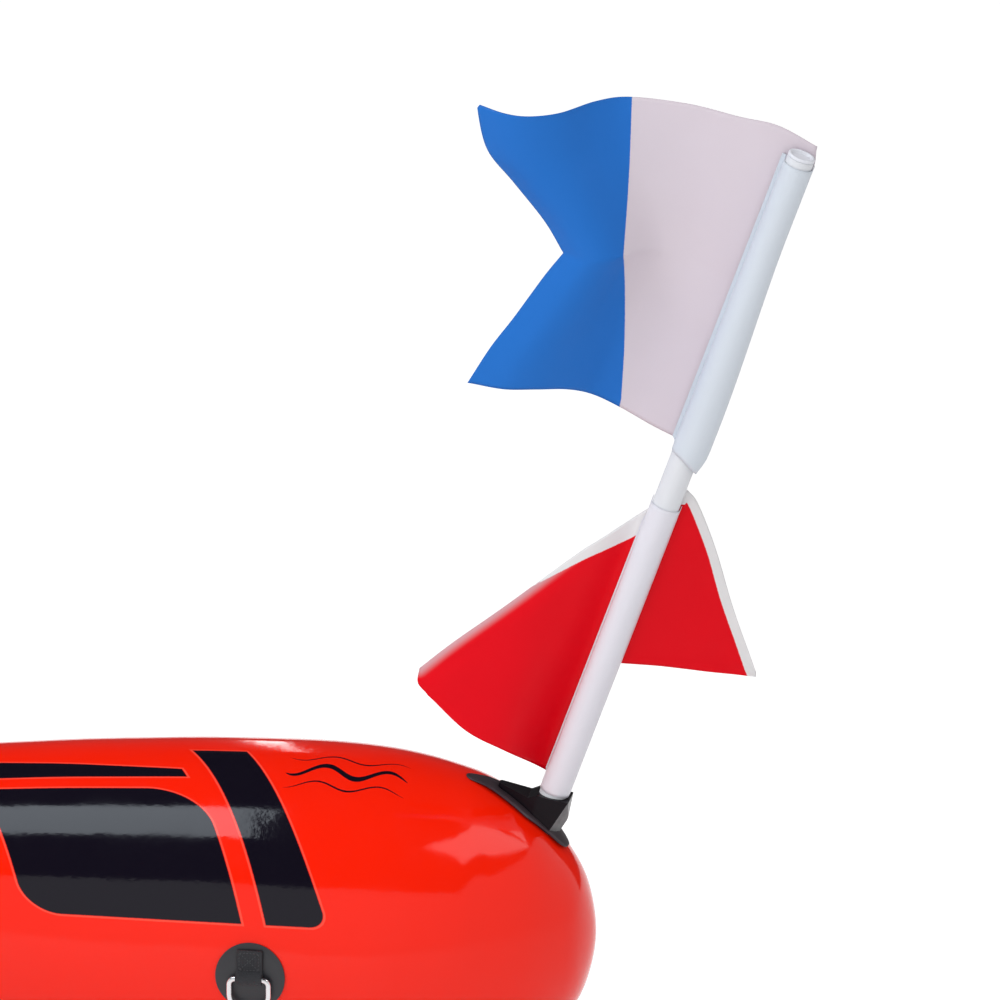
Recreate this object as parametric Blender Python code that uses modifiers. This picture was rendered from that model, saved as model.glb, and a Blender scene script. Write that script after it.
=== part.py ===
"""Inflatable torpedo dive float with a raked flag mast.

Metres, +Z up. The float points its nose to -X and its tail to +X, is symmetric
about Y = 0, and stands on the flat base of its ballast pouch at Z = 0.
"""
import math

import bmesh
import bpy
from mathutils import Matrix, Vector

# Hull: outline from the nose tip to the tail tip, as (x, radius)
HULL_OUTLINE = (
    (-0.380, 0.0),
    (-0.370, 0.026),
    (-0.335, 0.053),
    (-0.260, 0.080),
    (-0.160, 0.0985),
    (-0.060, 0.1110),
    (0.050, 0.1195),
    (0.140, 0.1225),
    (0.200, 0.1190),
    (0.248, 0.1095),
    (0.274, 0.0985),
    (0.298, 0.0830),
    (0.316, 0.0630),
    (0.331, 0.0370),
    (0.338, 0.0),
)
HULL_STEPS_PER_SPAN = 2
HULL_SEGMENTS = 48
HULL_WALL = 0.0012
TAIL_TAPER_START = 0.190
TAIL_TAPER_END = 0.338
TAIL_WIDTH_SHARE = 0.82

# Ballast pouch and the weight in it
POUCH_CENTRE_X = 0.030
POUCH_LENGTH = 0.190
POUCH_WIDTH = 0.066
POUCH_CORNER_RADIUS = 0.016
POUCH_FLOOR = 0.0025
WEIGHT_LENGTH = 0.150
WEIGHT_WIDTH = 0.042
WEIGHT_THICKNESS = 0.008
WEIGHT_EDGE_RADIUS = 0.0018
WEIGHT_SIDE_CLEARANCE = 0.0006
HULL_GROUND_CLEARANCE = 0.0125

# Gap kept between pieces that touch or are welded face to face
SEAT_GAP = 0.0003
SKIN_THICKNESS = 0.0015

# Mast and its socket on the tail slope
MAST_RAKE = math.radians(20.0)
MOUTH_X = 0.308
MOUTH_ABOVE_HULL_AXIS = 0.097
MAST_RADIUS = 0.0095
MAST_WALL = 0.0016
MAST_LENGTH = 0.4995
MAST_SEAT_DEPTH = 0.0275
MAST_FIT = 0.00025
MAST_SEGMENTS = 40
CAP_DOME_HEIGHT = 0.0022
CAP_CROWN = ((0.0, 1.0), (0.55, 0.9), (0.88, 0.6), (1.0, 0.2))
CAP_PLUG_LENGTH = 0.012
FOOT_PLUG_LENGTH = 0.014
FOOT_RIM_HEIGHT = 0.002
SOCKET_WALL = 0.0022
SOCKET_SIDE_MARGIN = 0.00025
SOCKET_NOSE_LENGTH = 0.0275
SOCKET_FRONT_HALF_WIDTH = 0.0042
SOCKET_CORNER_RADIUS = 0.0030
SOCKET_TOP_RISE = 0.0026
SOCKET_TOP_TILT = math.radians(8.3)
SOCKET_REAR_SWELL = 0.0030
SOCKET_SWELL_DROP = 0.0136
SOCKET_FLOOR = 0.0022
SOCKET_EDGE_BEVEL = 0.0007
SOCKET_BLOCK_DEPTH = 0.060
CUP_TOP_DROP = 0.0020
SADDLE_THICKNESS = 0.0030
SADDLE_FRONT_X = 0.2490
SADDLE_WIDEST_X = 0.2910
SADDLE_REAR_TUCK = 0.00325
SADDLE_SIDE_MARGIN = 0.00425
SADDLE_REAR_TAPER = 0.0074
SADDLE_FRONT_HALF_WIDTH = 0.0070
SADDLE_FRONT_CORNER = 0.005
SADDLE_SIDE_CORNER = 0.014
SADDLE_REAR_CORNER = 0.007

CUP_BORE_RADIUS = MAST_RADIUS + MAST_FIT
CUP_RADIUS = CUP_BORE_RADIUS + SOCKET_WALL
CUP_HOLE_RADIUS = CUP_RADIUS + SEAT_GAP
SOCKET_HALF_WIDTH = CUP_RADIUS + SOCKET_SIDE_MARGIN
SOCKET_FRONT = MAST_RADIUS + SOCKET_NOSE_LENGTH
SOCKET_RIM_HEIGHT = SOCKET_TOP_RISE + SOCKET_HALF_WIDTH * math.tan(SOCKET_TOP_TILT)
SADDLE_HALF_WIDTH = CUP_HOLE_RADIUS + SADDLE_SIDE_MARGIN
SADDLE_REAR_X = MOUTH_X + CUP_HOLE_RADIUS - SADDLE_REAR_TUCK

# Flag cloth: thin PVC sheets on welded sleeves round the mast
CLOTH_THICKNESS = 0.0007
SLEEVE_CLEARANCE = 0.0004
SLEEVE_WELD_WIDTH = 0.0045
SLEEVE_ARC_STEPS = 12
SLEEVE_WELD_START = 0.0010
HOIST_MARGIN = 0.0002
BEHIND_MAST = MAST_RADIUS + SLEEVE_CLEARANCE + CLOTH_THICKNESS
HOIST_RIGHT = MAST_RADIUS + HOIST_MARGIN

# Upper flag's edges as (height over the mast's top, reach to the mast's left, depth away)
ALFA_TOP = (
    (0.0055, -HOIST_RIGHT, BEHIND_MAST),
    (0.0080, 0.0204, 0.014),
    (0.0020, 0.0478, 0.018),
    (-0.0045, 0.0828, 0.022),
    (-0.0147, 0.1219, 0.020),
    (-0.0228, 0.1422, 0.010),
    (-0.0341, 0.1622, -0.008),
    (-0.0417, 0.1808, -0.016),
    (-0.0459, 0.1968, -0.016),
    (-0.0488, 0.2151, -0.010),
)
ALFA_BOTTOM = (
    (-0.2295, -HOIST_RIGHT, BEHIND_MAST),
    (-0.2282, 0.0106, 0.012),
    (-0.2277, 0.0298, 0.016),
    (-0.2255, 0.0540, 0.020),
    (-0.2230, 0.0755, 0.016),
    (-0.2218, 0.0922, 0.004),
    (-0.2253, 0.1109, -0.008),
    (-0.2316, 0.1316, -0.015),
    (-0.2380, 0.1550, -0.012),
)
ALFA_FLY_LOWER = (
    (-0.2380, 0.1550, -0.012),
    (-0.2082, 0.1491, -0.014),
    (-0.1827, 0.1417, -0.013),
    (-0.1483, 0.1328, -0.005),
    (-0.1279, 0.1264, 0.0),
)
ALFA_FLY_UPPER = (
    (-0.1279, 0.1264, 0.0),
    (-0.1115, 0.1461, -0.006),
    (-0.0932, 0.1744, -0.012),
    (-0.0773, 0.1993, -0.012),
    (-0.0534, 0.2149, -0.010),
    (-0.0488, 0.2151, -0.010),
)
ALFA_COLUMNS = 22
ALFA_ROWS = 14

# Lower flag's edges as (height over the mast's mouth, reach to the mast's left, depth away)
DIVER_HOIST_LOW = 0.0120
DIVER_SPLIT = 0.1050
DIVER_HOIST_HIGH = 0.2400
DIVER_LEFT_TOP = (
    (DIVER_HOIST_HIGH, -HOIST_RIGHT, BEHIND_MAST),
    (0.2185, 0.0100, BEHIND_MAST),
    (0.2080, 0.0180, BEHIND_MAST + 0.0008),
    (0.1890, 0.0330, 0.004),
    (0.1710, 0.0470, -0.001),
    (0.1270, 0.0780, -0.012),
    (0.0900, 0.1040, -0.020),
    (0.0640, 0.1180, -0.022),
)
DIVER_LEFT_BOTTOM = (
    (DIVER_HOIST_LOW, -HOIST_RIGHT, BEHIND_MAST),
    (DIVER_HOIST_LOW, 0.0030, BEHIND_MAST),
    (0.0130, 0.0185, BEHIND_MAST + 0.0008),
    (0.0250, 0.0430, -0.016),
    (0.0321, 0.0718, -0.026),
    (0.0453, 0.1030, -0.026),
)
DIVER_LEFT_FLY = (
    (0.0453, 0.1030, -0.026),
    (0.0530, 0.1140, -0.024),
    (0.0640, 0.1180, -0.022),
)
DIVER_RIGHT_TOP = (
    (DIVER_HOIST_HIGH, -HOIST_RIGHT, BEHIND_MAST),
    (0.2325, -0.0201, 0.013),
    (0.2036, -0.0427, 0.020),
    (0.1688, -0.0659, 0.027),
    (0.1260, -0.0975, 0.036),
)
DIVER_RIGHT_BOTTOM = (
    (DIVER_SPLIT, -HOIST_RIGHT, BEHIND_MAST),
    (0.1100, -0.0300, 0.0155),
    (0.1140, -0.0507, 0.022),
    (0.1215, -0.0929, 0.034),
    (0.1225, -0.0985, 0.036),
)
DIVER_COLUMNS = 14
DIVER_ROWS_BELOW_SPLIT = 5
DIVER_ROWS_ABOVE_SPLIT = 8
DIVER_RIGHT_COLUMNS = 10

# The mast left bare between the flags, and how far the sleeves' ends stop short
FLAGS_GAP = 0.0300
ALFA_SLEEVE_TAIL = 0.0060
ALFA_SLEEVE_LOW = DIVER_HOIST_HIGH + FLAGS_GAP - ALFA_SLEEVE_TAIL
ALFA_SLEEVE_TOP_DROP = 0.0075
DIVER_SLEEVE_FOOT_GAP = 0.0014
DIVER_SLEEVE_LOW = SOCKET_RIM_HEIGHT + DIVER_SLEEVE_FOOT_GAP
DIVER_SLEEVE_TOP_DROP = 0.0120
DIVER_SLEEVE_HIGH = DIVER_HOIST_HIGH - DIVER_SLEEVE_TOP_DROP

# Inflation valve on the back of the hull
VALVE_X = -0.130
VALVE_PATCH_RADIUS = 0.027
VALVE_FLANGE_RADIUS = 0.0165
VALVE_FLANGE_HEIGHT = 0.0030
VALVE_NECK_RADIUS = 0.0115
VALVE_NECK_DEPTH = 0.0130
VALVE_BORE_RADIUS = 0.0088
VALVE_FLAP_THICKNESS = 0.0010
VALVE_FLAP_DEPTH = 0.0110
VALVE_FLAP_CLEARANCE = 0.0005
VALVE_CAP_RADIUS = 0.0135
VALVE_CAP_HEIGHT = 0.0045
VALVE_PLUG_DEPTH = 0.0070
VALVE_PLUG_CLEARANCE = 0.0003
VALVE_CAP_BEVEL = 0.0008
VALVE_GRIPS = 12
VALVE_GRIP_RADIUS = 0.0012
VALVE_FLANGE_ROOT = 0.006
VALVE_JOIN = 0.001

# Nose cap and side patches, with their webbing tabs and D-rings
NOSE_CAP_EDGE_X = -0.322
TOW_TAB_ROOT = 0.010
GEAR_STATIONS = (-0.150, 0.120)
GEAR_PATCH_RADIUS = 0.024
PATCH_TOOL_REACH = 0.012
TAB_WIDTH = 0.018
TAB_LENGTH = 0.020
TAB_PLATE = 0.0026
TAB_LOOP_WALL = 0.0016
TAB_LOOP_TURN = math.radians(243.0)
TAB_LOOP_STEPS = 12
TAB_HOLE_STEPS = 16
TAB_FOLD_BACK = 1.35
RING_WIRE_RADIUS = 0.0019
RING_RUNNING_GAP = 0.0005
RING_BAR_HALF = 0.0135
RING_REACH = 0.0240
RING_CORNER_RADIUS = 0.0040
RING_ARC_STEPS = 12
RING_CORNER_STEPS = 3

# How far a cutting tool runs past what it cuts
CUT_PAST = 0.010

HULL_MAX_RADIUS = max(radius for _, radius in HULL_OUTLINE)
HULL_AXIS_HEIGHT = HULL_MAX_RADIUS + HULL_GROUND_CLEARANCE
MOUTH = Vector((MOUTH_X, 0.0, HULL_AXIS_HEIGHT + MOUTH_ABOVE_HULL_AXIS))
MAST_UP = Vector((math.sin(MAST_RAKE), 0.0, math.cos(MAST_RAKE)))
MAST_LEFT = Vector((-math.cos(MAST_RAKE), 0.0, math.sin(MAST_RAKE)))
AWAY = Vector((0.0, 1.0, 0.0))

PART_COLLECTION = "torpedo_dive_float"
CUTTER_COLLECTION = "cutters"

COLOURS = {
    "hull_red": ((0.95, 0.045, 0.012, 1.0), 0.22, 0.0),
    "black_pvc": ((0.012, 0.012, 0.016, 1.0), 0.45, 0.0),
    "socket_black": ((0.008, 0.008, 0.010, 1.0), 0.40, 0.0),
    "saddle_grey": ((0.070, 0.070, 0.075, 1.0), 0.55, 0.0),
    "mast_white": ((0.78, 0.78, 0.83, 1.0), 0.32, 0.0),
    "flag_blue": ((0.020, 0.130, 0.560, 1.0), 0.38, 0.0),
    "flag_red": ((0.720, 0.006, 0.014, 1.0), 0.35, 0.0),
    "sleeve_white": ((0.62, 0.62, 0.70, 1.0), 0.40, 0.0),
    "ring_steel": ((0.55, 0.55, 0.56, 1.0), 0.25, 1.0),
    "lead": ((0.18, 0.18, 0.20, 1.0), 0.60, 1.0),
    "valve_black": ((0.015, 0.015, 0.017, 1.0), 0.50, 0.0),
}


def remove_scene_objects():
    """Empties the scene that the script starts in."""
    for obj in list(bpy.data.objects):
        bpy.data.objects.remove(obj, do_unlink=True)


def collection(name):
    """Returns the collection of that name, linked to the scene."""
    found = bpy.data.collections.get(name)
    if found is None:
        found = bpy.data.collections.new(name)
        bpy.context.scene.collection.children.link(found)
    return found


def material(name):
    """Returns the Principled material that COLOURS describes under that name."""
    found = bpy.data.materials.get(name)
    if found is not None:
        return found
    colour, roughness, metallic = COLOURS[name]
    made = bpy.data.materials.new(name)
    made.use_nodes = True
    shader = made.node_tree.nodes["Principled BSDF"]
    shader.inputs["Base Color"].default_value = colour
    shader.inputs["Roughness"].default_value = roughness
    shader.inputs["Metallic"].default_value = metallic
    return made


def piece(name, mesh, colour, place=None):
    """Makes one named sub-part from a mesh, at a place given as a matrix."""
    obj = bpy.data.objects.new(name, mesh)
    collection(PART_COLLECTION).objects.link(obj)
    mesh.materials.clear()
    mesh.materials.append(material(colour))
    mesh.shade_smooth()
    mesh.set_sharp_from_angle(angle=math.radians(35.0))
    if place is not None:
        obj.matrix_world = place
    return obj


def cutter(name, mesh, place=None):
    """Makes a hidden tool object for Boolean modifiers."""
    obj = bpy.data.objects.new(name, mesh)
    collection(CUTTER_COLLECTION).objects.link(obj)
    obj.hide_render = True
    obj.display_type = "WIRE"
    if place is not None:
        obj.matrix_world = place
    return obj


def combine(obj, tool, operation):
    """Adds an exact Boolean modifier to a sub-part."""
    modifier = obj.modifiers.new(operation.lower() + "_" + tool.name, "BOOLEAN")
    modifier.operation = operation
    modifier.solver = "EXACT"
    modifier.object = tool
    return modifier


def bevel(obj, width, segments, angle=math.radians(40.0)):
    """Rounds the sharp edges of a sub-part."""
    modifier = obj.modifiers.new("rounded_edges", "BEVEL")
    modifier.width = width
    modifier.segments = segments
    modifier.limit_method = "ANGLE"
    modifier.angle_limit = angle
    return modifier


def mesh_from(name, build):
    """Makes a mesh by calling build(bmesh) on an empty bmesh."""
    shape = bmesh.new()
    build(shape)
    mesh = bpy.data.meshes.new(name)
    shape.to_mesh(mesh)
    shape.free()
    return mesh


def evaluated_mesh(obj, name):
    """Returns the mesh that an object has with its modifiers, and removes the object."""
    graph = bpy.context.evaluated_depsgraph_get()
    mesh = bpy.data.meshes.new_from_object(obj.evaluated_get(graph), depsgraph=graph)
    mesh.name = name
    bpy.data.objects.remove(obj, do_unlink=True)
    return mesh


def turned(name, profile, segments):
    """Turns a closed profile of (radius, height) points about Z.

    The profile starts at the top and runs down its outer side. A profile whose first and
    last points are on the axis is left open there.
    """
    on_axis = profile[0][0] < 1e-7 and profile[-1][0] < 1e-7

    def outline(shape):
        points = [shape.verts.new((radius, 0.0, height)) for radius, height in profile]
        for first, second in zip(points, points[1:]):
            shape.edges.new((first, second))
        if not on_axis:
            shape.edges.new((points[-1], points[0]))

    line = bpy.data.objects.new(name, mesh_from(name, outline))
    bpy.context.scene.collection.objects.link(line)
    screw = line.modifiers.new("turn", "SCREW")
    screw.axis = "Z"
    screw.steps = segments
    screw.render_steps = segments
    screw.use_merge_vertices = True
    screw.merge_threshold = 0.00001
    mesh = evaluated_mesh(line, name)
    shape = bmesh.new()
    shape.from_mesh(mesh)
    bmesh.ops.remove_doubles(shape, verts=shape.verts, dist=0.000005)
    bmesh.ops.recalc_face_normals(shape, faces=shape.faces)
    shape.to_mesh(mesh)
    shape.free()
    return mesh


def extruded_outline(name, outlines, depth):
    """Fills flat closed outlines, holes among them, and extrudes them depth / 2 either way."""
    curve = bpy.data.curves.new(name, "CURVE")
    curve.dimensions = "2D"
    curve.fill_mode = "BOTH"
    curve.extrude = depth / 2.0
    curve.resolution_u = 1
    for outline in outlines:
        spline = curve.splines.new("POLY")
        spline.points.add(len(outline) - 1)
        for point, (across, along) in zip(spline.points, outline):
            point.co = (across, along, 0.0, 1.0)
        spline.use_cyclic_u = True
    holder = bpy.data.objects.new(name, curve)
    bpy.context.scene.collection.objects.link(holder)
    mesh = evaluated_mesh(holder, name)
    shape = bmesh.new()
    shape.from_mesh(mesh)
    bmesh.ops.remove_doubles(shape, verts=shape.verts, dist=0.000005)
    bmesh.ops.recalc_face_normals(shape, faces=shape.faces)
    shape.to_mesh(mesh)
    shape.free()
    return mesh


def wire_loop(name, points, radius):
    """Makes a closed round wire through points."""
    curve = bpy.data.curves.new(name, "CURVE")
    curve.dimensions = "3D"
    curve.bevel_depth = radius
    curve.bevel_resolution = 2
    curve.resolution_u = 1
    spline = curve.splines.new("POLY")
    spline.points.add(len(points) - 1)
    for point, place in zip(spline.points, points):
        point.co = (*place, 1.0)
    spline.use_cyclic_u = True
    holder = bpy.data.objects.new(name, curve)
    bpy.context.scene.collection.objects.link(holder)
    return evaluated_mesh(holder, name)


def rounded(corners, steps=5):
    """Returns an outline whose corners, given as (x, y, radius), are arcs."""
    outline = []
    count = len(corners)
    for index, (x, y, radius) in enumerate(corners):
        corner = Vector((x, y))
        before = (Vector(corners[index - 1][:2]) - corner).normalized()
        after = (Vector(corners[(index + 1) % count][:2]) - corner).normalized()
        half = before.angle(after) / 2.0
        reach = radius / math.tan(half)
        centre = corner + (before + after).normalized() * (radius / math.sin(half))
        start = corner + before * reach - centre
        end = corner + after * reach - centre
        turn = start.angle_signed(end)
        for step in range(steps + 1):
            outline.append(tuple(centre + Matrix.Rotation(-turn * step / steps, 2) @ start))
    return outline


def smooth_line(points, steps):
    """Returns a smooth line through points, with a number of steps in each span."""
    line = []
    for index in range(len(points) - 1):
        here = Vector(points[index])
        there = Vector(points[index + 1])
        before = Vector(points[index - 1]) if index > 0 else here * 2.0 - there
        after = Vector(points[index + 2]) if index + 2 < len(points) else there * 2.0 - here
        for step in range(steps):
            part = step / steps
            line.append(
                0.5 * (
                    2.0 * here
                    + (there - before) * part
                    + (2.0 * before - 5.0 * here + 4.0 * there - after) * part ** 2
                    + (3.0 * here - before - 3.0 * there + after) * part ** 3
                )
            )
    line.append(Vector(points[-1]))
    return line


def hull_line():
    """Returns the hull outline as smooth (x, radius) points from nose to tail."""
    nose = (HULL_OUTLINE[1][0], -HULL_OUTLINE[1][1])
    tail = (HULL_OUTLINE[-2][0], -HULL_OUTLINE[-2][1])
    line = smooth_line((nose, *HULL_OUTLINE, tail), HULL_STEPS_PER_SPAN)
    inner = line[HULL_STEPS_PER_SPAN:-HULL_STEPS_PER_SPAN]
    inner[0].y = 0.0
    inner[-1].y = 0.0
    return inner


def hull_offset_line(offset):
    """Returns the hull outline moved outwards by offset."""
    line = hull_line()
    moved = []
    for index, point in enumerate(line):
        if index == 0:
            moved.append(Vector((point.x - offset, 0.0)))
        elif index == len(line) - 1:
            moved.append(Vector((point.x + offset, 0.0)))
        else:
            along = (line[index + 1] - line[index - 1]).normalized()
            moved.append(point + Vector((-along.y, along.x)) * offset)
    return moved


def hull_at(x):
    """Returns the hull's radius and its slope (radius per x) at x."""
    line = hull_line()
    for first, second in zip(line, line[1:]):
        if first.x <= x <= second.x:
            slope = (second.y - first.y) / (second.x - first.x)
            return first.y + slope * (x - first.x), slope
    return 0.0, 0.0


def tail_share(x):
    """Returns the hull's width over its height at x."""
    part = (x - TAIL_TAPER_START) / (TAIL_TAPER_END - TAIL_TAPER_START)
    part = min(max(part, 0.0), 1.0)
    return 1.0 + (TAIL_WIDTH_SHARE - 1.0) * part * part * (3.0 - 2.0 * part)


def lay_along_hull(mesh):
    """Turns a mesh made about Z into the hull's place about X, narrowed at the tail."""
    mesh.transform(Matrix.Rotation(math.radians(90.0), 4, "Y"))
    for vertex in mesh.vertices:
        vertex.co.y *= tail_share(vertex.co.x)
        vertex.co.z += HULL_AXIS_HEIGHT
    mesh.update()
    return mesh


def hull_solid(name, offset):
    """Makes the hull's solid form, grown outwards by offset."""
    line = reversed(hull_offset_line(offset))
    profile = [(point.y, point.x) for point in line]
    return lay_along_hull(turned(name, profile, HULL_SEGMENTS))


def hull_skin(name, inner, outer, low_x, high_x):
    """Makes a skin over the hull between two offsets and two stations."""
    outside = [p for p in hull_offset_line(outer) if low_x <= p.x <= high_x]
    inside = [p for p in hull_offset_line(inner) if low_x <= p.x <= high_x]
    profile = [(p.y, p.x) for p in reversed(outside)] + [(p.y, p.x) for p in inside]
    return lay_along_hull(turned(name, profile, HULL_SEGMENTS))


def hull_frame(x, angle, offset=0.0):
    """Returns a matrix on the hull: X along its meridian, Z out of it.

    The angle is measured round the hull from the top, towards -Y.
    """
    radius, slope = hull_at(x)
    out = Vector((-slope, -math.sin(angle), math.cos(angle))).normalized()
    along = Vector((1.0, -slope * math.sin(angle), slope * math.cos(angle))).normalized()
    across = out.cross(along)
    spot = Vector((x, -radius * math.sin(angle), HULL_AXIS_HEIGHT + radius * math.cos(angle)))
    spot += out * offset
    turn = Matrix((along, across, out)).transposed().to_4x4()
    return Matrix.Translation(spot) @ turn


def cylinder(name, radius, low, high, segments=40):
    """Makes a cylinder about Z between two heights."""
    def build(shape):
        bmesh.ops.create_cone(
            shape, cap_ends=True, segments=segments, radius1=radius, radius2=radius,
            depth=high - low, matrix=Matrix.Translation((0.0, 0.0, (low + high) / 2.0)),
        )
    return mesh_from(name, build)


def box(name, low, high):
    """Makes a box between two corners."""
    size = Vector(high) - Vector(low)
    middle = (Vector(high) + Vector(low)) / 2.0

    def build(shape):
        place = Matrix.Translation(middle) @ Matrix.Diagonal((*size, 1.0))
        bmesh.ops.create_cube(shape, size=1.0, matrix=place)
    return mesh_from(name, build)


def mast_place(height=0.0):
    """Returns the mast's frame: Z up the mast, X to the rear, Y away from the viewer."""
    turn = Matrix((-MAST_LEFT, AWAY, MAST_UP)).transposed().to_4x4()
    return Matrix.Translation(MOUTH + MAST_UP * height) @ turn


def make_hull():
    """Makes the inflated shell with its valve hole and its mast cup hole."""
    shell = piece("float_shell", hull_solid("float_shell", 0.0), "hull_red")
    hollow = cutter("hull_hollow", hull_solid("hull_hollow", -HULL_WALL))
    combine(shell, hollow, "DIFFERENCE")
    neck_hole = cylinder("valve_hole", VALVE_NECK_RADIUS + SEAT_GAP, -CUT_PAST, CUT_PAST)
    combine(shell, cutter("valve_hole", neck_hole, hull_frame(VALVE_X, 0.0)), "DIFFERENCE")
    cup_hole = cylinder("cup_hole", CUP_HOLE_RADIUS, -SOCKET_BLOCK_DEPTH, 0.0)
    combine(shell, cutter("cup_hole", cup_hole, mast_place()), "DIFFERENCE")


def make_keel():
    """Makes the flat-bottomed ballast pouch and the weight that lies in it."""
    half_length = POUCH_LENGTH / 2.0
    half_width = POUCH_WIDTH / 2.0
    corner = POUCH_CORNER_RADIUS
    plan = rounded((
        (half_length, half_width, corner),
        (-half_length, half_width, corner),
        (-half_length, -half_width, corner),
        (half_length, -half_width, corner),
    ))
    height = HULL_AXIS_HEIGHT / 2.0
    place = Matrix.Translation((POUCH_CENTRE_X, 0.0, height / 2.0))
    pouch = piece("keel_pouch", extruded_outline("keel_pouch", [plan], height), "black_pvc", place)
    room = cutter("hull_room_over_pouch", hull_solid("hull_room", SEAT_GAP))
    combine(pouch, room, "DIFFERENCE")
    room_length = WEIGHT_LENGTH / 2.0 + WEIGHT_SIDE_CLEARANCE
    room_width = WEIGHT_WIDTH / 2.0 + WEIGHT_SIDE_CLEARANCE
    hold = box(
        "weight_room",
        (POUCH_CENTRE_X - room_length, -room_width, POUCH_FLOOR),
        (POUCH_CENTRE_X + room_length, room_width, height),
    )
    combine(pouch, cutter("weight_room", hold), "DIFFERENCE")
    bar = box(
        "ballast_weight",
        (-WEIGHT_LENGTH / 2.0, -WEIGHT_WIDTH / 2.0, 0.0),
        (WEIGHT_LENGTH / 2.0, WEIGHT_WIDTH / 2.0, WEIGHT_THICKNESS),
    )
    lying = Matrix.Translation((POUCH_CENTRE_X, 0.0, POUCH_FLOOR + SEAT_GAP))
    bevel(piece("ballast_weight", bar, "lead", lying), WEIGHT_EDGE_RADIUS, 2)


def make_saddle():
    """Makes the grey patch that lies on the tail slope under the socket."""
    rear_half_width = SADDLE_HALF_WIDTH - SADDLE_REAR_TAPER
    plan = rounded((
        (SADDLE_REAR_X, rear_half_width, SADDLE_REAR_CORNER),
        (SADDLE_WIDEST_X, SADDLE_HALF_WIDTH, SADDLE_SIDE_CORNER),
        (SADDLE_FRONT_X, SADDLE_FRONT_HALF_WIDTH, SADDLE_FRONT_CORNER),
        (SADDLE_FRONT_X, -SADDLE_FRONT_HALF_WIDTH, SADDLE_FRONT_CORNER),
        (SADDLE_WIDEST_X, -SADDLE_HALF_WIDTH, SADDLE_SIDE_CORNER),
        (SADDLE_REAR_X, -rear_half_width, SADDLE_REAR_CORNER),
    ))
    depth = HULL_MAX_RADIUS
    place = Matrix.Translation((0.0, 0.0, HULL_AXIS_HEIGHT + depth / 2.0))
    saddle = piece("saddle_patch", extruded_outline("saddle_patch", [plan], depth), "saddle_grey", place)
    skin = hull_skin("saddle_skin", SEAT_GAP, SEAT_GAP + SADDLE_THICKNESS, 0.0, 1.0)
    combine(saddle, cutter("saddle_skin", skin), "INTERSECT")
    cup_hole = cylinder("saddle_cup_hole", CUP_HOLE_RADIUS, -SOCKET_BLOCK_DEPTH, CUT_PAST)
    combine(saddle, cutter("saddle_cup_hole", cup_hole, mast_place()), "DIFFERENCE")


def make_socket():
    """Makes the wedge with its blind cup, fitted to the saddle's slope.

    Its top lies flatter than the mast's cross-section, and its rear swells below the rim.
    """
    rear = SOCKET_HALF_WIDTH + SOCKET_REAR_SWELL
    plan = rounded((
        (-SOCKET_FRONT, SOCKET_FRONT_HALF_WIDTH, SOCKET_CORNER_RADIUS),
        (-MAST_RADIUS, SOCKET_HALF_WIDTH, SOCKET_HALF_WIDTH),
        (rear, SOCKET_HALF_WIDTH, SOCKET_CORNER_RADIUS),
        (rear, -SOCKET_HALF_WIDTH, SOCKET_CORNER_RADIUS),
        (-MAST_RADIUS, -SOCKET_HALF_WIDTH, SOCKET_HALF_WIDTH),
        (-SOCKET_FRONT, -SOCKET_FRONT_HALF_WIDTH, SOCKET_CORNER_RADIUS),
    ))
    block = extruded_outline("mast_socket", [plan], 2.0 * SOCKET_BLOCK_DEPTH)
    socket = piece("mast_socket", block, "socket_black", mast_place())
    front = -SOCKET_FRONT - CUT_PAST
    front_top = SOCKET_TOP_RISE + front * math.tan(SOCKET_TOP_TILT)
    past_rear = rear + SOCKET_REAR_SWELL
    side = (
        (front, front_top),
        (front, CUT_PAST - SOCKET_BLOCK_DEPTH),
        (past_rear, CUT_PAST - SOCKET_BLOCK_DEPTH),
        (past_rear, SOCKET_RIM_HEIGHT - 2.0 * SOCKET_SWELL_DROP),
        (SOCKET_HALF_WIDTH, SOCKET_RIM_HEIGHT),
    )
    profile = extruded_outline("socket_side", [side], 4.0 * SOCKET_HALF_WIDTH)
    upright = Matrix.Rotation(math.pi / 2.0, 4, "X")
    combine(socket, cutter("socket_side", profile, mast_place() @ upright), "INTERSECT")
    bevel(socket, SOCKET_EDGE_BEVEL, 2)
    seat = hull_solid("socket_seat", SADDLE_THICKNESS + 2.0 * SEAT_GAP)
    combine(socket, cutter("socket_seat", seat), "DIFFERENCE")
    floor = MAST_SEAT_DEPTH + SEAT_GAP
    cup = cylinder("socket_cup", CUP_RADIUS, -floor - SOCKET_FLOOR, -CUP_TOP_DROP)
    combine(socket, cutter("socket_cup", cup, mast_place()), "UNION")
    bore = cylinder("socket_bore", CUP_BORE_RADIUS, -floor, CUT_PAST)
    combine(socket, cutter("socket_bore", bore, mast_place()), "DIFFERENCE")


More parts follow.
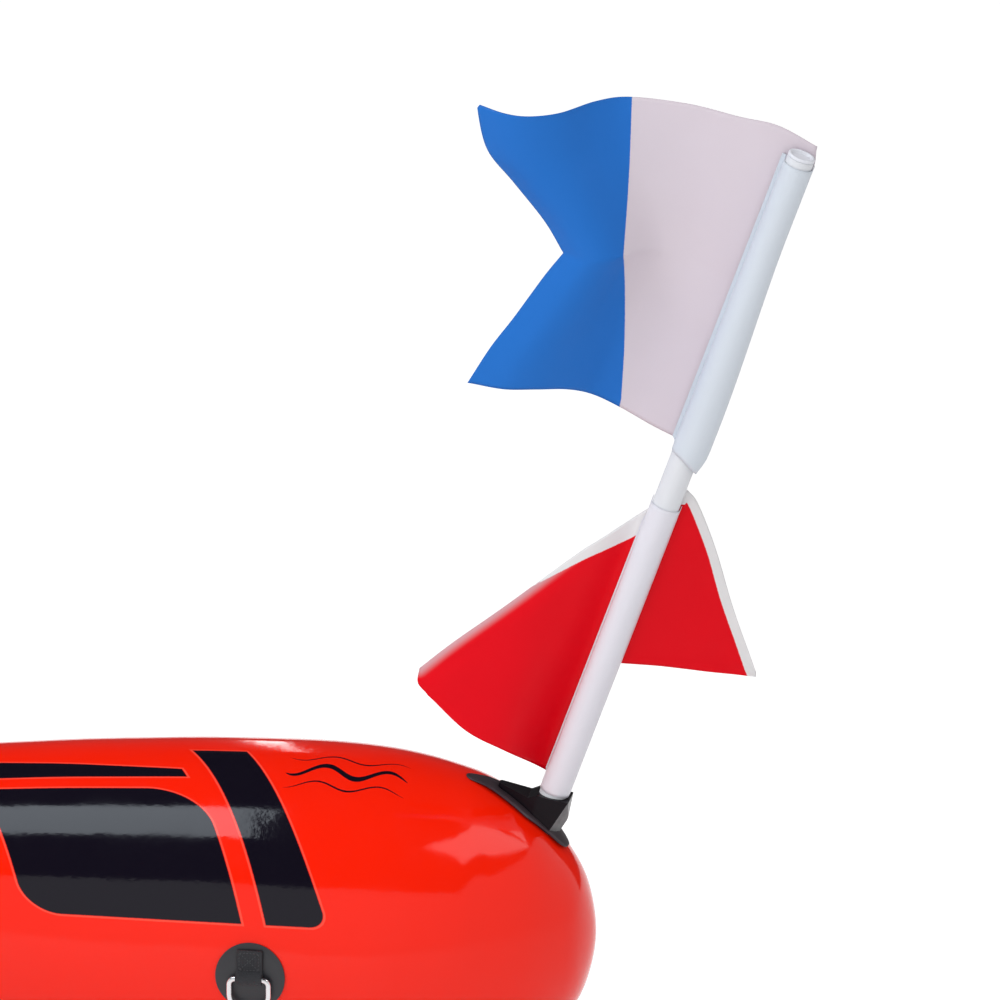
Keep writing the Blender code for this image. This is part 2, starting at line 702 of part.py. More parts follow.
def make_mast():
    """Makes the mast tube with the plugs in its two ends."""
    inner = MAST_RADIUS - MAST_WALL
    low = FOOT_RIM_HEIGHT + SEAT_GAP - MAST_SEAT_DEPTH
    high = MAST_LENGTH - CAP_DOME_HEIGHT - SEAT_GAP
    wall = ((MAST_RADIUS, high), (MAST_RADIUS, low), (inner, low), (inner, high))
    piece("mast_tube", turned("mast_tube", wall, MAST_SEGMENTS), "mast_white", mast_place())

    plug = inner - SEAT_GAP
    crown = high + SEAT_GAP
    cap = (
        *((MAST_RADIUS * out, crown + CAP_DOME_HEIGHT * up) for out, up in CAP_CROWN),
        (MAST_RADIUS, crown),
        (plug, crown),
        (plug, crown - CAP_PLUG_LENGTH),
        (0.0, crown - CAP_PLUG_LENGTH),
    )
    piece("mast_top_cap", turned("mast_top_cap", cap, MAST_SEGMENTS), "mast_white", mast_place())

    rim = low - SEAT_GAP
    foot = (
        (0.0, rim + FOOT_PLUG_LENGTH),
        (plug, rim + FOOT_PLUG_LENGTH),
        (plug, rim),
        (MAST_RADIUS, rim),
        (MAST_RADIUS, rim - FOOT_RIM_HEIGHT),
        (0.0, rim - FOOT_RIM_HEIGHT),
    )
    piece("mast_foot_plug", turned("mast_foot_plug", foot, MAST_SEGMENTS), "valve_black", mast_place())


def even_line(points, count):
    """Returns a smooth line through points as count + 1 points, evenly spaced along it."""
    fine = smooth_line(points, 12)
    reach = [0.0]
    for first, second in zip(fine, fine[1:]):
        reach.append(reach[-1] + (second - first).length)
    line = []
    index = 0
    for step in range(count + 1):
        target = reach[-1] * step / count
        while index < len(fine) - 2 and reach[index + 1] < target:
            index += 1
        span = reach[index + 1] - reach[index]
        line.append(fine[index].lerp(fine[index + 1], (target - reach[index]) / span))
    return line


def on_upper_hoist(points):
    """Fits points drawn down from the mast's top to the hoist that the lower flag leaves."""
    room = MAST_LENGTH - DIVER_HOIST_HIGH - FLAGS_GAP
    fit = room / -ALFA_BOTTOM[0][0]
    return [(MAST_LENGTH + height * fit, left, away) for height, left, away in points]


def straight_hoist(low, high, rows):
    """Returns the hoist edge behind the mast, as rows + 1 points."""
    return [
        Vector((low + (high - low) * row / rows, -HOIST_RIGHT, BEHIND_MAST))
        for row in range(rows + 1)
    ]


def sheet_grid(bottom, top, hoist, fly):
    """Blends four edges into a grid of points, as rows from the bottom to the top."""
    columns = len(bottom) - 1
    rows = len(hoist) - 1
    grid = []
    for row in range(rows + 1):
        up = row / rows
        points = []
        for column in range(columns + 1):
            out = column / columns
            edges = bottom[column] * (1.0 - up) + top[column] * up
            edges += hoist[row] * (1.0 - out) + fly[row] * out
            corners = (bottom[0] * (1.0 - out) + bottom[-1] * out) * (1.0 - up)
            corners += (top[0] * (1.0 - out) + top[-1] * out) * up
            points.append(edges - corners)
        grid.append(points)
    return grid


def add_sheet(shape, grid):
    """Lays a grid primitive of faces through a grid of (height, left, away) points."""
    rows = len(grid) - 1
    columns = len(grid[0]) - 1
    made = bmesh.ops.create_grid(shape, x_segments=columns, y_segments=rows, size=0.5)
    for vertex in made["verts"]:
        column = round((vertex.co.x + 0.5) * columns)
        row = round((vertex.co.y + 0.5) * rows)
        height, left, away = grid[row][column]
        vertex.co = MOUTH + MAST_UP * height + MAST_LEFT * left + AWAY * away


def flag(name, grids, colour):
    """Makes a flag of thin cloth from one or more joined grids."""
    def build(shape):
        for grid in grids:
            add_sheet(shape, grid)
        bmesh.ops.remove_doubles(shape, verts=shape.verts, dist=0.00001)
        bmesh.ops.recalc_face_normals(shape, faces=shape.faces)
    mesh = mesh_from(name, build)
    mesh.transform(mast_place().inverted())
    sheet = piece(name, mesh, colour, mast_place())
    cloth = sheet.modifiers.new("cloth", "SOLIDIFY")
    cloth.thickness = CLOTH_THICKNESS
    cloth.offset = 0.0
    return sheet


def sleeve(name, low, high):
    """Makes the strip that wraps the mast's front and is welded to the flag behind it."""
    radius = MAST_RADIUS + SLEEVE_CLEARANCE + CLOTH_THICKNESS / 2.0
    weld = BEHIND_MAST - CLOTH_THICKNESS - SEAT_GAP
    line = [(-radius - SLEEVE_WELD_WIDTH, weld), (-radius - SLEEVE_WELD_START, weld)]
    for step in range(SLEEVE_ARC_STEPS + 1):
        turn = math.pi * step / SLEEVE_ARC_STEPS
        line.append((-radius * math.cos(turn), -radius * math.sin(turn)))
    line.append((radius, weld))

    def build(shape):
        points = [shape.verts.new((x, y, low)) for x, y in line]
        edges = [shape.edges.new(pair) for pair in zip(points, points[1:])]
        grown = bmesh.ops.extrude_edge_only(shape, edges=edges)["geom"]
        moved = [item for item in grown if isinstance(item, bmesh.types.BMVert)]
        bmesh.ops.translate(shape, verts=moved, vec=(0.0, 0.0, high - low))
        bmesh.ops.recalc_face_normals(shape, faces=shape.faces)
    strip = piece(name, mesh_from(name, build), "sleeve_white", mast_place())
    cloth = strip.modifiers.new("cloth", "SOLIDIFY")
    cloth.thickness = CLOTH_THICKNESS
    cloth.offset = 0.0
    cloth.use_even_offset = True
    return strip


def make_alfa_flag():
    """Makes the upper swallowtail flag and its sleeve strip."""
    half = ALFA_ROWS // 2
    bottom = on_upper_hoist(ALFA_BOTTOM)
    top = on_upper_hoist(ALFA_TOP)
    fly = even_line(on_upper_hoist(ALFA_FLY_LOWER), half)[:-1]
    fly += even_line(on_upper_hoist(ALFA_FLY_UPPER), ALFA_ROWS - half)
    grid = sheet_grid(
        even_line(bottom, ALFA_COLUMNS),
        even_line(top, ALFA_COLUMNS),
        straight_hoist(bottom[0][0], top[0][0], ALFA_ROWS),
        fly,
    )
    flag("alfa_flag", [grid], "flag_blue")
    sleeve("alfa_pocket", ALFA_SLEEVE_LOW, MAST_LENGTH - ALFA_SLEEVE_TOP_DROP)


def make_diver_flag():
    """Makes the lower flag, with a wing on each side of the mast, and its sleeve strip."""
    below = straight_hoist(DIVER_HOIST_LOW, DIVER_SPLIT, DIVER_ROWS_BELOW_SPLIT)
    above = straight_hoist(DIVER_SPLIT, DIVER_HOIST_HIGH, DIVER_ROWS_ABOVE_SPLIT)
    rows = DIVER_ROWS_BELOW_SPLIT + DIVER_ROWS_ABOVE_SPLIT
    left = sheet_grid(
        even_line(DIVER_LEFT_BOTTOM, DIVER_COLUMNS),
        even_line(DIVER_LEFT_TOP, DIVER_COLUMNS),
        below[:-1] + above,
        even_line(DIVER_LEFT_FLY, rows),
    )
    right = sheet_grid(
        even_line(DIVER_RIGHT_BOTTOM, DIVER_RIGHT_COLUMNS),
        even_line(DIVER_RIGHT_TOP, DIVER_RIGHT_COLUMNS),
        above,
        even_line((DIVER_RIGHT_BOTTOM[-1], DIVER_RIGHT_TOP[-1]), DIVER_ROWS_ABOVE_SPLIT),
    )
    flag("diver_flag", [left, right], "flag_red")
    sleeve("diver_pocket", DIVER_SLEEVE_LOW, DIVER_SLEEVE_HIGH)


def patch(name, x, angle, radius, colour):
    """Makes a round welded patch that follows the hull."""
    place = hull_frame(x, angle)
    block = cylinder(name, radius, -PATCH_TOOL_REACH, PATCH_TOOL_REACH)
    disc = piece(name, block, colour, place)
    reach = radius * 2.0
    skin = hull_skin(name + "_skin", SEAT_GAP, SEAT_GAP + SKIN_THICKNESS, x - reach, x + reach)
    combine(disc, cutter(name + "_skin", skin), "INTERSECT")
    return disc


def make_valve():
    """Makes the inflation valve: patch, base with its neck, flap and plug cap."""
    place = hull_frame(VALVE_X, 0.0)
    welded = patch("valve_patch", VALVE_X, 0.0, VALVE_PATCH_RADIUS, "hull_red")
    neck_hole = bpy.data.objects["valve_hole"]
    combine(welded, neck_hole, "DIFFERENCE")

    seat_offset = SKIN_THICKNESS + 2.0 * SEAT_GAP
    top = seat_offset + VALVE_FLANGE_HEIGHT
    flange = cylinder("valve_base", VALVE_FLANGE_RADIUS, -VALVE_FLANGE_ROOT, top)
    base = piece("valve_base", flange, "valve_black", place)
    bevel(base, VALVE_CAP_BEVEL, 2)
    combine(base, cutter("valve_seat", hull_solid("valve_seat", seat_offset)), "DIFFERENCE")
    neck = cylinder("valve_neck", VALVE_NECK_RADIUS, -VALVE_NECK_DEPTH, top - VALVE_JOIN)
    combine(base, cutter("valve_neck", neck, place), "UNION")
    bore = cylinder(
        "valve_bore", VALVE_BORE_RADIUS, -VALVE_NECK_DEPTH - CUT_PAST, top + CUT_PAST,
    )
    combine(base, cutter("valve_bore", bore, place), "DIFFERENCE")

    flap_radius = VALVE_BORE_RADIUS - VALVE_FLAP_CLEARANCE
    flap_top = VALVE_FLAP_THICKNESS - VALVE_FLAP_DEPTH
    flap = cylinder("valve_flap", flap_radius, -VALVE_FLAP_DEPTH, flap_top)
    piece("valve_flap", flap, "valve_black", place)

    underside = top + SEAT_GAP
    lid = cylinder("valve_cap", VALVE_CAP_RADIUS, underside, underside + VALVE_CAP_HEIGHT)
    cap = piece("valve_cap", lid, "valve_black", place)
    bevel(cap, VALVE_CAP_BEVEL, 2)
    plug_radius = VALVE_BORE_RADIUS - VALVE_PLUG_CLEARANCE
    plug_low = top - VALVE_PLUG_DEPTH
    plug = cylinder("valve_plug", plug_radius, plug_low, underside + VALVE_JOIN)
    combine(cap, cutter("valve_plug", plug, place), "UNION")
    for grip in range(VALVE_GRIPS):
        turn = 2.0 * math.pi * grip / VALVE_GRIPS
        spot = Matrix.Translation((
            VALVE_CAP_RADIUS * math.cos(turn), VALVE_CAP_RADIUS * math.sin(turn), underside,
        ))
        notch_top = VALVE_CAP_HEIGHT + VALVE_JOIN
        notch = cylinder("valve_grip", VALVE_GRIP_RADIUS, -VALVE_JOIN, notch_top, 10)
        combine(cap, cutter("valve_grip_%d" % grip, notch, place @ spot), "DIFFERENCE")


def tab_outline(length):
    """Returns the outlines of a folded webbing tab: its edge and the loop's hole.

    The tab lies along -Y from the ring's bar, with its underside at 0.
    """
    hole = RING_WIRE_RADIUS + RING_RUNNING_GAP
    outer = hole + TAB_LOOP_WALL
    edge = [(-length, 0.0), (0.0, 0.0)]
    for step in range(1, TAB_LOOP_STEPS + 1):
        turn = TAB_LOOP_TURN * step / TAB_LOOP_STEPS - math.pi / 2.0
        edge.append((outer * math.cos(turn), outer + outer * math.sin(turn)))
    edge += [(-outer * TAB_FOLD_BACK, TAB_PLATE), (-length, TAB_PLATE)]
    loop = []
    for step in range(TAB_HOLE_STEPS):
        turn = 2.0 * math.pi * step / TAB_HOLE_STEPS
        loop.append((hole * math.cos(turn), outer + hole * math.sin(turn)))
    return [edge, loop]


def bar_height():
    """Returns the height of a ring's bar over the surface that its tab lies on."""
    return RING_WIRE_RADIUS + RING_RUNNING_GAP + TAB_LOOP_WALL


def ring_points():
    """Returns a D-ring's wire line: its bar along X at Y = 0, its bow towards +Y."""
    half = RING_BAR_HALF
    arc_reach = RING_REACH - half
    points = []
    for end in (1.0, -1.0):
        corner = Vector((end * half, 0.0))
        steps = range(RING_CORNER_STEPS + 1)
        for step in steps if end < 0.0 else reversed(steps):
            turn = math.radians(90.0) * step / RING_CORNER_STEPS
            centre = Vector((corner.x - end * RING_CORNER_RADIUS, RING_CORNER_RADIUS))
            offset = Vector((end * math.sin(turn), -math.cos(turn))) * RING_CORNER_RADIUS
            points.append(centre + offset)
    for step in range(RING_ARC_STEPS + 1):
        turn = math.pi * (1.0 - step / RING_ARC_STEPS)
        points.append(Vector((half * math.cos(turn), arc_reach + half * math.sin(turn))))
    return [(point.x, point.y, 0.0) for point in points]


def tab_and_ring(prefix, place, length):
    """Makes a webbing tab and the D-ring in its loop, on a frame with Z out of the seat.

    In that frame the ring's bar lies along X, and the ring hangs towards +Y.
    """
    strap = extruded_outline(prefix + "_tab", tab_outline(length), TAB_WIDTH)
    stand = Matrix(((0.0, 0.0, 1.0, 0.0), (1.0, 0.0, 0.0, 0.0), (0.0, 1.0, 0.0, 0.0), (0.0, 0.0, 0.0, 1.0)))
    strap.transform(stand)
    piece(prefix + "_tab", strap, "black_pvc", place)
    wire = wire_loop(prefix + "_ring", ring_points(), RING_WIRE_RADIUS)
    lift = Matrix.Translation((0.0, 0.0, bar_height()))
    piece(prefix + "_ring", wire, "ring_steel", place @ lift)


def make_gear_points():
    """Makes the four side patches, tabs and hanging D-rings."""
    seat = SKIN_THICKNESS + 2.0 * SEAT_GAP
    number = 0
    for side in (1.0, -1.0):
        for station in GEAR_STATIONS:
            number += 1
            angle = side * math.radians(90.0)
            patch("gear_patch_%d" % number, station, angle, GEAR_PATCH_RADIUS, "black_pvc")
            place = hull_frame(station, angle, seat)
            if side > 0.0:
                place = place @ Matrix.Rotation(math.pi, 4, "Z")
            tab_and_ring("gear_%d" % number, place, TAB_LENGTH)


def make_nose():
    """Makes the nose cap with its forward tab and tow ring."""
    outer = SEAT_GAP + SKIN_THICKNESS
    mesh = hull_skin("nose_cap", SEAT_GAP, outer, -1.0, NOSE_CAP_EDGE_X)
    piece("nose_cap", mesh, "black_pvc")
    tip = HULL_OUTLINE[0][0] - outer - SEAT_GAP
    place = Matrix.Translation((tip - TOW_TAB_ROOT, 0.0, HULL_AXIS_HEIGHT))
    strap = extruded_outline("tow_tab", tab_outline(TOW_TAB_ROOT), TAB_WIDTH)
    stand = Matrix(((-1.0, 0.0, 0.0, 0.0), (0.0, 0.0, 1.0, 0.0), (0.0, 1.0, 0.0, 0.0), (0.0, 0.0, 0.0, 1.0)))
    strap.transform(stand @ Matrix.Translation((0.0, -bar_height(), 0.0)))
    piece("tow_tab", strap, "black_pvc", place)
    wire = wire_loop("tow_ring", ring_points(), RING_WIRE_RADIUS)
    hang = Matrix(((0.0, 0.0, 1.0, 0.0), (-1.0, 0.0, 0.0, 0.0), (0.0, -1.0, 0.0, 0.0), (0.0, 0.0, 0.0, 1.0)))
    piece("tow_ring", wire, "ring_steel", place @ hang)


def main():
    """Builds the float from the hull outwards."""
    remove_scene_objects()
    make_hull()
    make_keel()
    make_saddle()
    make_socket()
    make_mast()
    make_alfa_flag()
    make_diver_flag()
    make_valve()
    make_gear_points()
    make_nose()
    bpy.context.view_layer.update()


main()
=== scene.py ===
"""Looks of the torpedo dive float: hull, socket, mast, two flags and the fittings."""
import logging
import math
from bisect import bisect_right
from dataclasses import dataclass, field
from enum import Enum
from typing import Callable, Sequence, Union

import bmesh
import bpy
from mathutils import Matrix, Quaternion, Vector, noise


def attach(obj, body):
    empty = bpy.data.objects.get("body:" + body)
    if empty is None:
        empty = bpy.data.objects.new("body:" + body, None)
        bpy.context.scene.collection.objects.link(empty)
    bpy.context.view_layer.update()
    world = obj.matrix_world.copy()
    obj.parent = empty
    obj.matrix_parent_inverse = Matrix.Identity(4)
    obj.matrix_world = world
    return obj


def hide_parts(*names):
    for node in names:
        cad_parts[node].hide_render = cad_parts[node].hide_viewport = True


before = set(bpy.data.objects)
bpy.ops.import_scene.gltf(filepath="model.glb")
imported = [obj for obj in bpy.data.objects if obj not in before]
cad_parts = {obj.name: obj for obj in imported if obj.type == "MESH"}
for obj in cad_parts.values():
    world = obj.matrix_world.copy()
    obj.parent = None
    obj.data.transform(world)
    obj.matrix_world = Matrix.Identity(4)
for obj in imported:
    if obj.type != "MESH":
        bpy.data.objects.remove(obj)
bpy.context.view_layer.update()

Colour = tuple[float, float, float, float]
Point = tuple[float, float, float]
Fed = Union[float, Sequence[float], bpy.types.NodeSocket]

log = logging.getLogger("dive_float")

# Places and sizes that the solids share, in metres
AXIS_HEIGHT = 0.135
SEAT_GAP = 0.0003
MOUTH = Vector((0.308, 0.0, 0.232))
RAKE = math.radians(20.0)
MAST_UP = Vector((math.sin(RAKE), 0.0, math.cos(RAKE)))
MAST_LEFT = Vector((-math.cos(RAKE), 0.0, math.sin(RAKE)))
AWAY = Vector((0.0, 1.0, 0.0))
MAST_RADIUS = 0.0095
BEHIND_MAST = 0.0106
HOIST_RIGHT = 0.0097
MAST_LENGTH = 0.4995
MAST_SEAT_DEPTH = 0.0275


# Node trees

class NodeSketch:
    """Lays nodes in one node tree and links them."""

    def __init__(self, tree: bpy.types.NodeTree) -> None:
        """Starts on a tree.

        Args:
            tree: The node tree that the nodes go into.
        """
        self.tree = tree
        self.count = 0

    def add(self, kind: str, **settings: object) -> bpy.types.Node:
        """Adds one node.

        Args:
            kind: The node's type name.
            **settings: Properties to set on it.

        Returns:
            The new node.
        """
        node = self.tree.nodes.new(kind)
        for key, value in settings.items():
            setattr(node, key, value)
        node.location = (210.0 * (self.count % 14), -280.0 * (self.count // 14))
        self.count += 1
        return node

    def feed(self, socket: bpy.types.NodeSocket, value: Fed) -> None:
        """Links a socket to a value, or sets it.

        Args:
            socket: The input socket.
            value: Another socket, a number or a list of numbers.
        """
        if isinstance(value, bpy.types.NodeSocket):
            self.tree.links.new(value, socket)
        else:
            socket.default_value = value

    def calc(self, operation: str, *values: Fed) -> bpy.types.NodeSocket:
        """Adds a Math node.

        Args:
            operation: The Math node's operation.
            *values: One to three inputs.

        Returns:
            The result's socket.
        """
        node = self.add("ShaderNodeMath", operation=operation)
        for socket, value in zip(node.inputs, values):
            self.feed(socket, value)
        return node.outputs[0]

    def mix(self, share: Fed, first: Fed, second: Fed) -> bpy.types.NodeSocket:
        """Mixes two colours.

        Args:
            share: How much of the second colour there is, 0 to 1.
            first: The first colour.
            second: The second colour.

        Returns:
            The mixed colour's socket.
        """
        node = self.add("ShaderNodeMix", data_type="RGBA")
        self.feed(node.inputs[0], share)
        self.feed(node.inputs[6], first)
        self.feed(node.inputs[7], second)
        return node.outputs[2]

    def step(self, value: Fed, low: float, high: float) -> bpy.types.NodeSocket:
        """Maps a value to a smooth step from 0 at low to 1 at high.

        Args:
            value: The value to map.
            low: Where the step starts.
            high: Where it ends.

        Returns:
            The step's socket.
        """
        node = self.add("ShaderNodeMapRange", interpolation_type="SMOOTHSTEP")
        self.feed(node.inputs["Value"], value)
        node.inputs["From Min"].default_value = low
        node.inputs["From Max"].default_value = high
        return node.outputs["Result"]

    def noise(self, vector: Fed, scale: Fed, detail: float = 3.0,
              roughness: float = 0.5) -> bpy.types.NodeSocket:
        """Adds a Noise Texture node.

        Args:
            vector: Where the noise is read.
            scale: Its scale.
            detail: Its number of octaves.
            roughness: How strong the fine octaves are.

        Returns:
            The noise's value, 0 to 1.
        """
        node = self.add("ShaderNodeTexNoise")
        self.feed(node.inputs["Vector"], vector)
        self.feed(node.inputs["Scale"], scale)
        node.inputs["Detail"].default_value = detail
        node.inputs["Roughness"].default_value = roughness
        return node.outputs["Fac"]

    def seen(self) -> bpy.types.NodeSocket:
        """Returns 1 on the camera's own and mirrored rays, 0 on the others."""
        path = self.add("ShaderNodeLightPath")
        return self.calc("MAXIMUM", path.outputs["Is Camera Ray"], path.outputs["Is Glossy Ray"])

    def group(self, tree: bpy.types.NodeTree, **values: Fed) -> bpy.types.Node:
        """Places a node group and feeds its inputs.

        Args:
            tree: The group's node tree.
            **values: Inputs by name, with _ for a space.

        Returns:
            The group node.
        """
        node = self.add("ShaderNodeGroup", node_tree=tree)
        for key, value in values.items():
            self.feed(node.inputs[key.replace("_", " ")], value)
        return node


def new_group(name: str, inputs: dict[str, str], outputs: dict[str, str]) -> tuple[
        NodeSketch, bpy.types.Node, bpy.types.Node]:
    """Makes an empty shader node group with named inputs and outputs.

    Args:
        name: The group's name.
        inputs: Socket types by name.
        outputs: Socket types by name.

    Returns:
        The sketch of its tree, and its input and output nodes.
    """
    tree = bpy.data.node_groups.new(name, "ShaderNodeTree")
    for in_out, sockets in (("INPUT", inputs), ("OUTPUT", outputs)):
        for socket, kind in sockets.items():
            tree.interface.new_socket(socket, in_out=in_out, socket_type="NodeSocket" + kind)
    sketch = NodeSketch(tree)
    return sketch, sketch.add("NodeGroupInput"), sketch.add("NodeGroupOutput")


def new_material(name: str) -> tuple[bpy.types.Material, NodeSketch, bpy.types.Node]:
    """Makes a material with one Principled shader.

    Args:
        name: The material's name.

    Returns:
        The material, the sketch of its tree, and its shader node.
    """
    made = bpy.data.materials.new(name)
    made.use_nodes = True
    made.node_tree.nodes.clear()
    sketch = NodeSketch(made.node_tree)
    shader = sketch.add("ShaderNodeBsdfPrincipled")
    out = sketch.add("ShaderNodeOutputMaterial")
    sketch.feed(out.inputs["Surface"], shader.outputs["BSDF"])
    return made, sketch, shader


class Effects:
    """The shader node groups that more than one finish uses."""

    def __init__(self) -> None:
        """Builds every group once."""
        self.drift = self.make_drift()
        self.gloss = self.make_gloss()
        self.skin = self.make_skin()
        self.weave = self.make_weave()
        self.print_edge = self.make_print_edge()
        self.dust_and_painted_light = self.make_dust_and_painted_light()

    def make_drift(self) -> bpy.types.NodeTree:
        """Builds the slow change of a colour over a surface.

        Returns:
            The group's tree.
        """
        sketch, given, put = new_group(
            "colour_drift",
            {"Vector": "Vector", "Color": "Color", "Scale": "Float", "Amount": "Float"},
            {"Color": "Color", "Value": "Float"},
        )
        cloud = sketch.noise(given.outputs["Vector"], given.outputs["Scale"], 4.0, 0.55)
        centred = sketch.calc("SUBTRACT", cloud, 0.5)
        value = sketch.calc("MULTIPLY_ADD", centred, given.outputs["Amount"], 1.0)
        shade = sketch.add("ShaderNodeHueSaturation")
        sketch.feed(shade.inputs["Value"], value)
        sketch.feed(shade.inputs["Color"], given.outputs["Color"])
        sketch.feed(put.inputs["Color"], shade.outputs["Color"])
        sketch.feed(put.inputs["Value"], value)
        return sketch.tree

    def make_gloss(self) -> bpy.types.NodeTree:
        """Builds uneven gloss: handling marks and dried spray on a smooth surface.

        Returns:
            The group's tree.
        """
        sketch, given, put = new_group(
            "uneven_gloss",
            {"Vector": "Vector", "Scale": "Float", "Roughness": "Float", "Spread": "Float"},
            {"Roughness": "Float"},
        )
        cloud = sketch.noise(given.outputs["Vector"], given.outputs["Scale"], 6.0, 0.62)
        marks = sketch.step(cloud, 0.38, 0.72)
        rough = sketch.calc("MULTIPLY_ADD", marks, given.outputs["Spread"], given.outputs["Roughness"])
        sketch.feed(put.inputs["Roughness"], rough)
        return sketch.tree

    def make_skin(self) -> bpy.types.NodeTree:
        """Builds the fine pebbled height of moulded plastic or coated cloth.

        Returns:
            The group's tree.
        """
        sketch, given, put = new_group(
            "fine_skin",
            {"Vector": "Vector", "Scale": "Float", "Lumps": "Float"},
            {"Height": "Float"},
        )
        fine = sketch.noise(given.outputs["Vector"], given.outputs["Scale"], 2.0, 0.5)
        wide_scale = sketch.calc("MULTIPLY", given.outputs["Scale"], 0.08)
        wide = sketch.noise(given.outputs["Vector"], wide_scale, 2.0, 0.5)
        height = sketch.calc("MULTIPLY_ADD", wide, given.outputs["Lumps"], fine)
        sketch.feed(put.inputs["Height"], height)
        return sketch.tree

    def make_weave(self) -> bpy.types.NodeTree:
        """Builds a plain weave on a flat map measured in metres.

        Returns:
            The group's tree.
        """
        sketch, given, put = new_group(
            "plain_weave",
            {"Vector": "Vector", "Threads": "Float"},
            {"Height": "Float", "Shade": "Float"},
        )
        split = sketch.add("ShaderNodeSeparateXYZ")
        sketch.feed(split.inputs[0], given.outputs["Vector"])
        turns = sketch.calc("MULTIPLY", given.outputs["Threads"], math.pi)
        waves = []
        for axis in (0, 1):
            angle = sketch.calc("MULTIPLY", split.outputs[axis], turns)
            waves.append(sketch.calc("SINE", angle))
        over = sketch.calc("MULTIPLY", waves[0], waves[1])
        side = sketch.step(over, -0.25, 0.25)
        ridge_warp = sketch.calc("ABSOLUTE", waves[0])
        ridge_weft = sketch.calc("ABSOLUTE", waves[1])
        gap = sketch.calc("SUBTRACT", ridge_warp, ridge_weft)
        height = sketch.calc("MULTIPLY_ADD", side, gap, ridge_weft)
        sketch.feed(put.inputs["Height"], height)
        sketch.feed(put.inputs["Shade"], sketch.step(height, 0.0, 0.6))
        return sketch.tree

    def make_print_edge(self) -> bpy.types.NodeTree:
        """Builds a printed or welded area's mask from the distance to its edge, and a thin band just outside
        the edge where a painted highlight goes.

        Returns:
            The group's tree.
        """
        sketch, given, put = new_group(
            "print_edge",
            {"Vector": "Vector", "Distance": "Float", "Softness": "Float"},
            {"Mask": "Float", "Painted_Highlight": "Float"},
        )
        ragged = sketch.noise(given.outputs["Vector"], 900.0, 2.0, 0.6)
        shift = sketch.calc("SUBTRACT", ragged, 0.5)
        distance = sketch.calc("MULTIPLY_ADD", shift, given.outputs["Softness"], given.outputs["Distance"])
        scaled = sketch.calc("DIVIDE", distance, given.outputs["Softness"])
        mask = sketch.step(scaled, -0.5, 0.5)
        # The band just outside the edge, for a painted highlight.
        near = sketch.calc("ABSOLUTE", sketch.calc("ADD", scaled, 2.0))
        rim = sketch.calc("SUBTRACT", 1.0, sketch.step(near, 0.8, 2.0))
        sketch.feed(put.inputs["Mask"], mask)
        sketch.feed(put.inputs["Painted_Highlight"], rim)
        return sketch.tree

    def make_dust_and_painted_light(self) -> bpy.types.NodeTree:
        """Builds the mask of faces that are turned one way: the dry salt dusting on upturned faces, and
        painted light on a face made paler as if light fell on it.

        Returns:
            The group's tree.
        """
        sketch, given, put = new_group(
            "facing_dust_and_painted_light",
            {"Vector": "Vector", "Normal": "Vector", "Facing": "Vector", "Amount": "Float"},
            {"Value": "Float"},
        )
        turned = sketch.add("ShaderNodeVectorMath", operation="DOT_PRODUCT")
        sketch.feed(turned.inputs[0], given.outputs["Normal"])
        sketch.feed(turned.inputs[1], given.outputs["Facing"])
        lies = sketch.step(turned.outputs["Value"], 0.25, 0.8)
        cloud = sketch.noise(given.outputs["Vector"], 240.0, 4.0, 0.6)
        patchy = sketch.calc("MULTIPLY_ADD", cloud, 0.8, 0.6)
        value = sketch.calc("MULTIPLY", lies, sketch.calc("MULTIPLY", patchy, given.outputs["Amount"]))
        sketch.feed(put.inputs["Value"], value)
        return sketch.tree


class Grain(Enum):
    """The fine relief that a finish has."""

    SMOOTH = "smooth"
    MOULDED = "moulded"
    WOVEN = "woven"


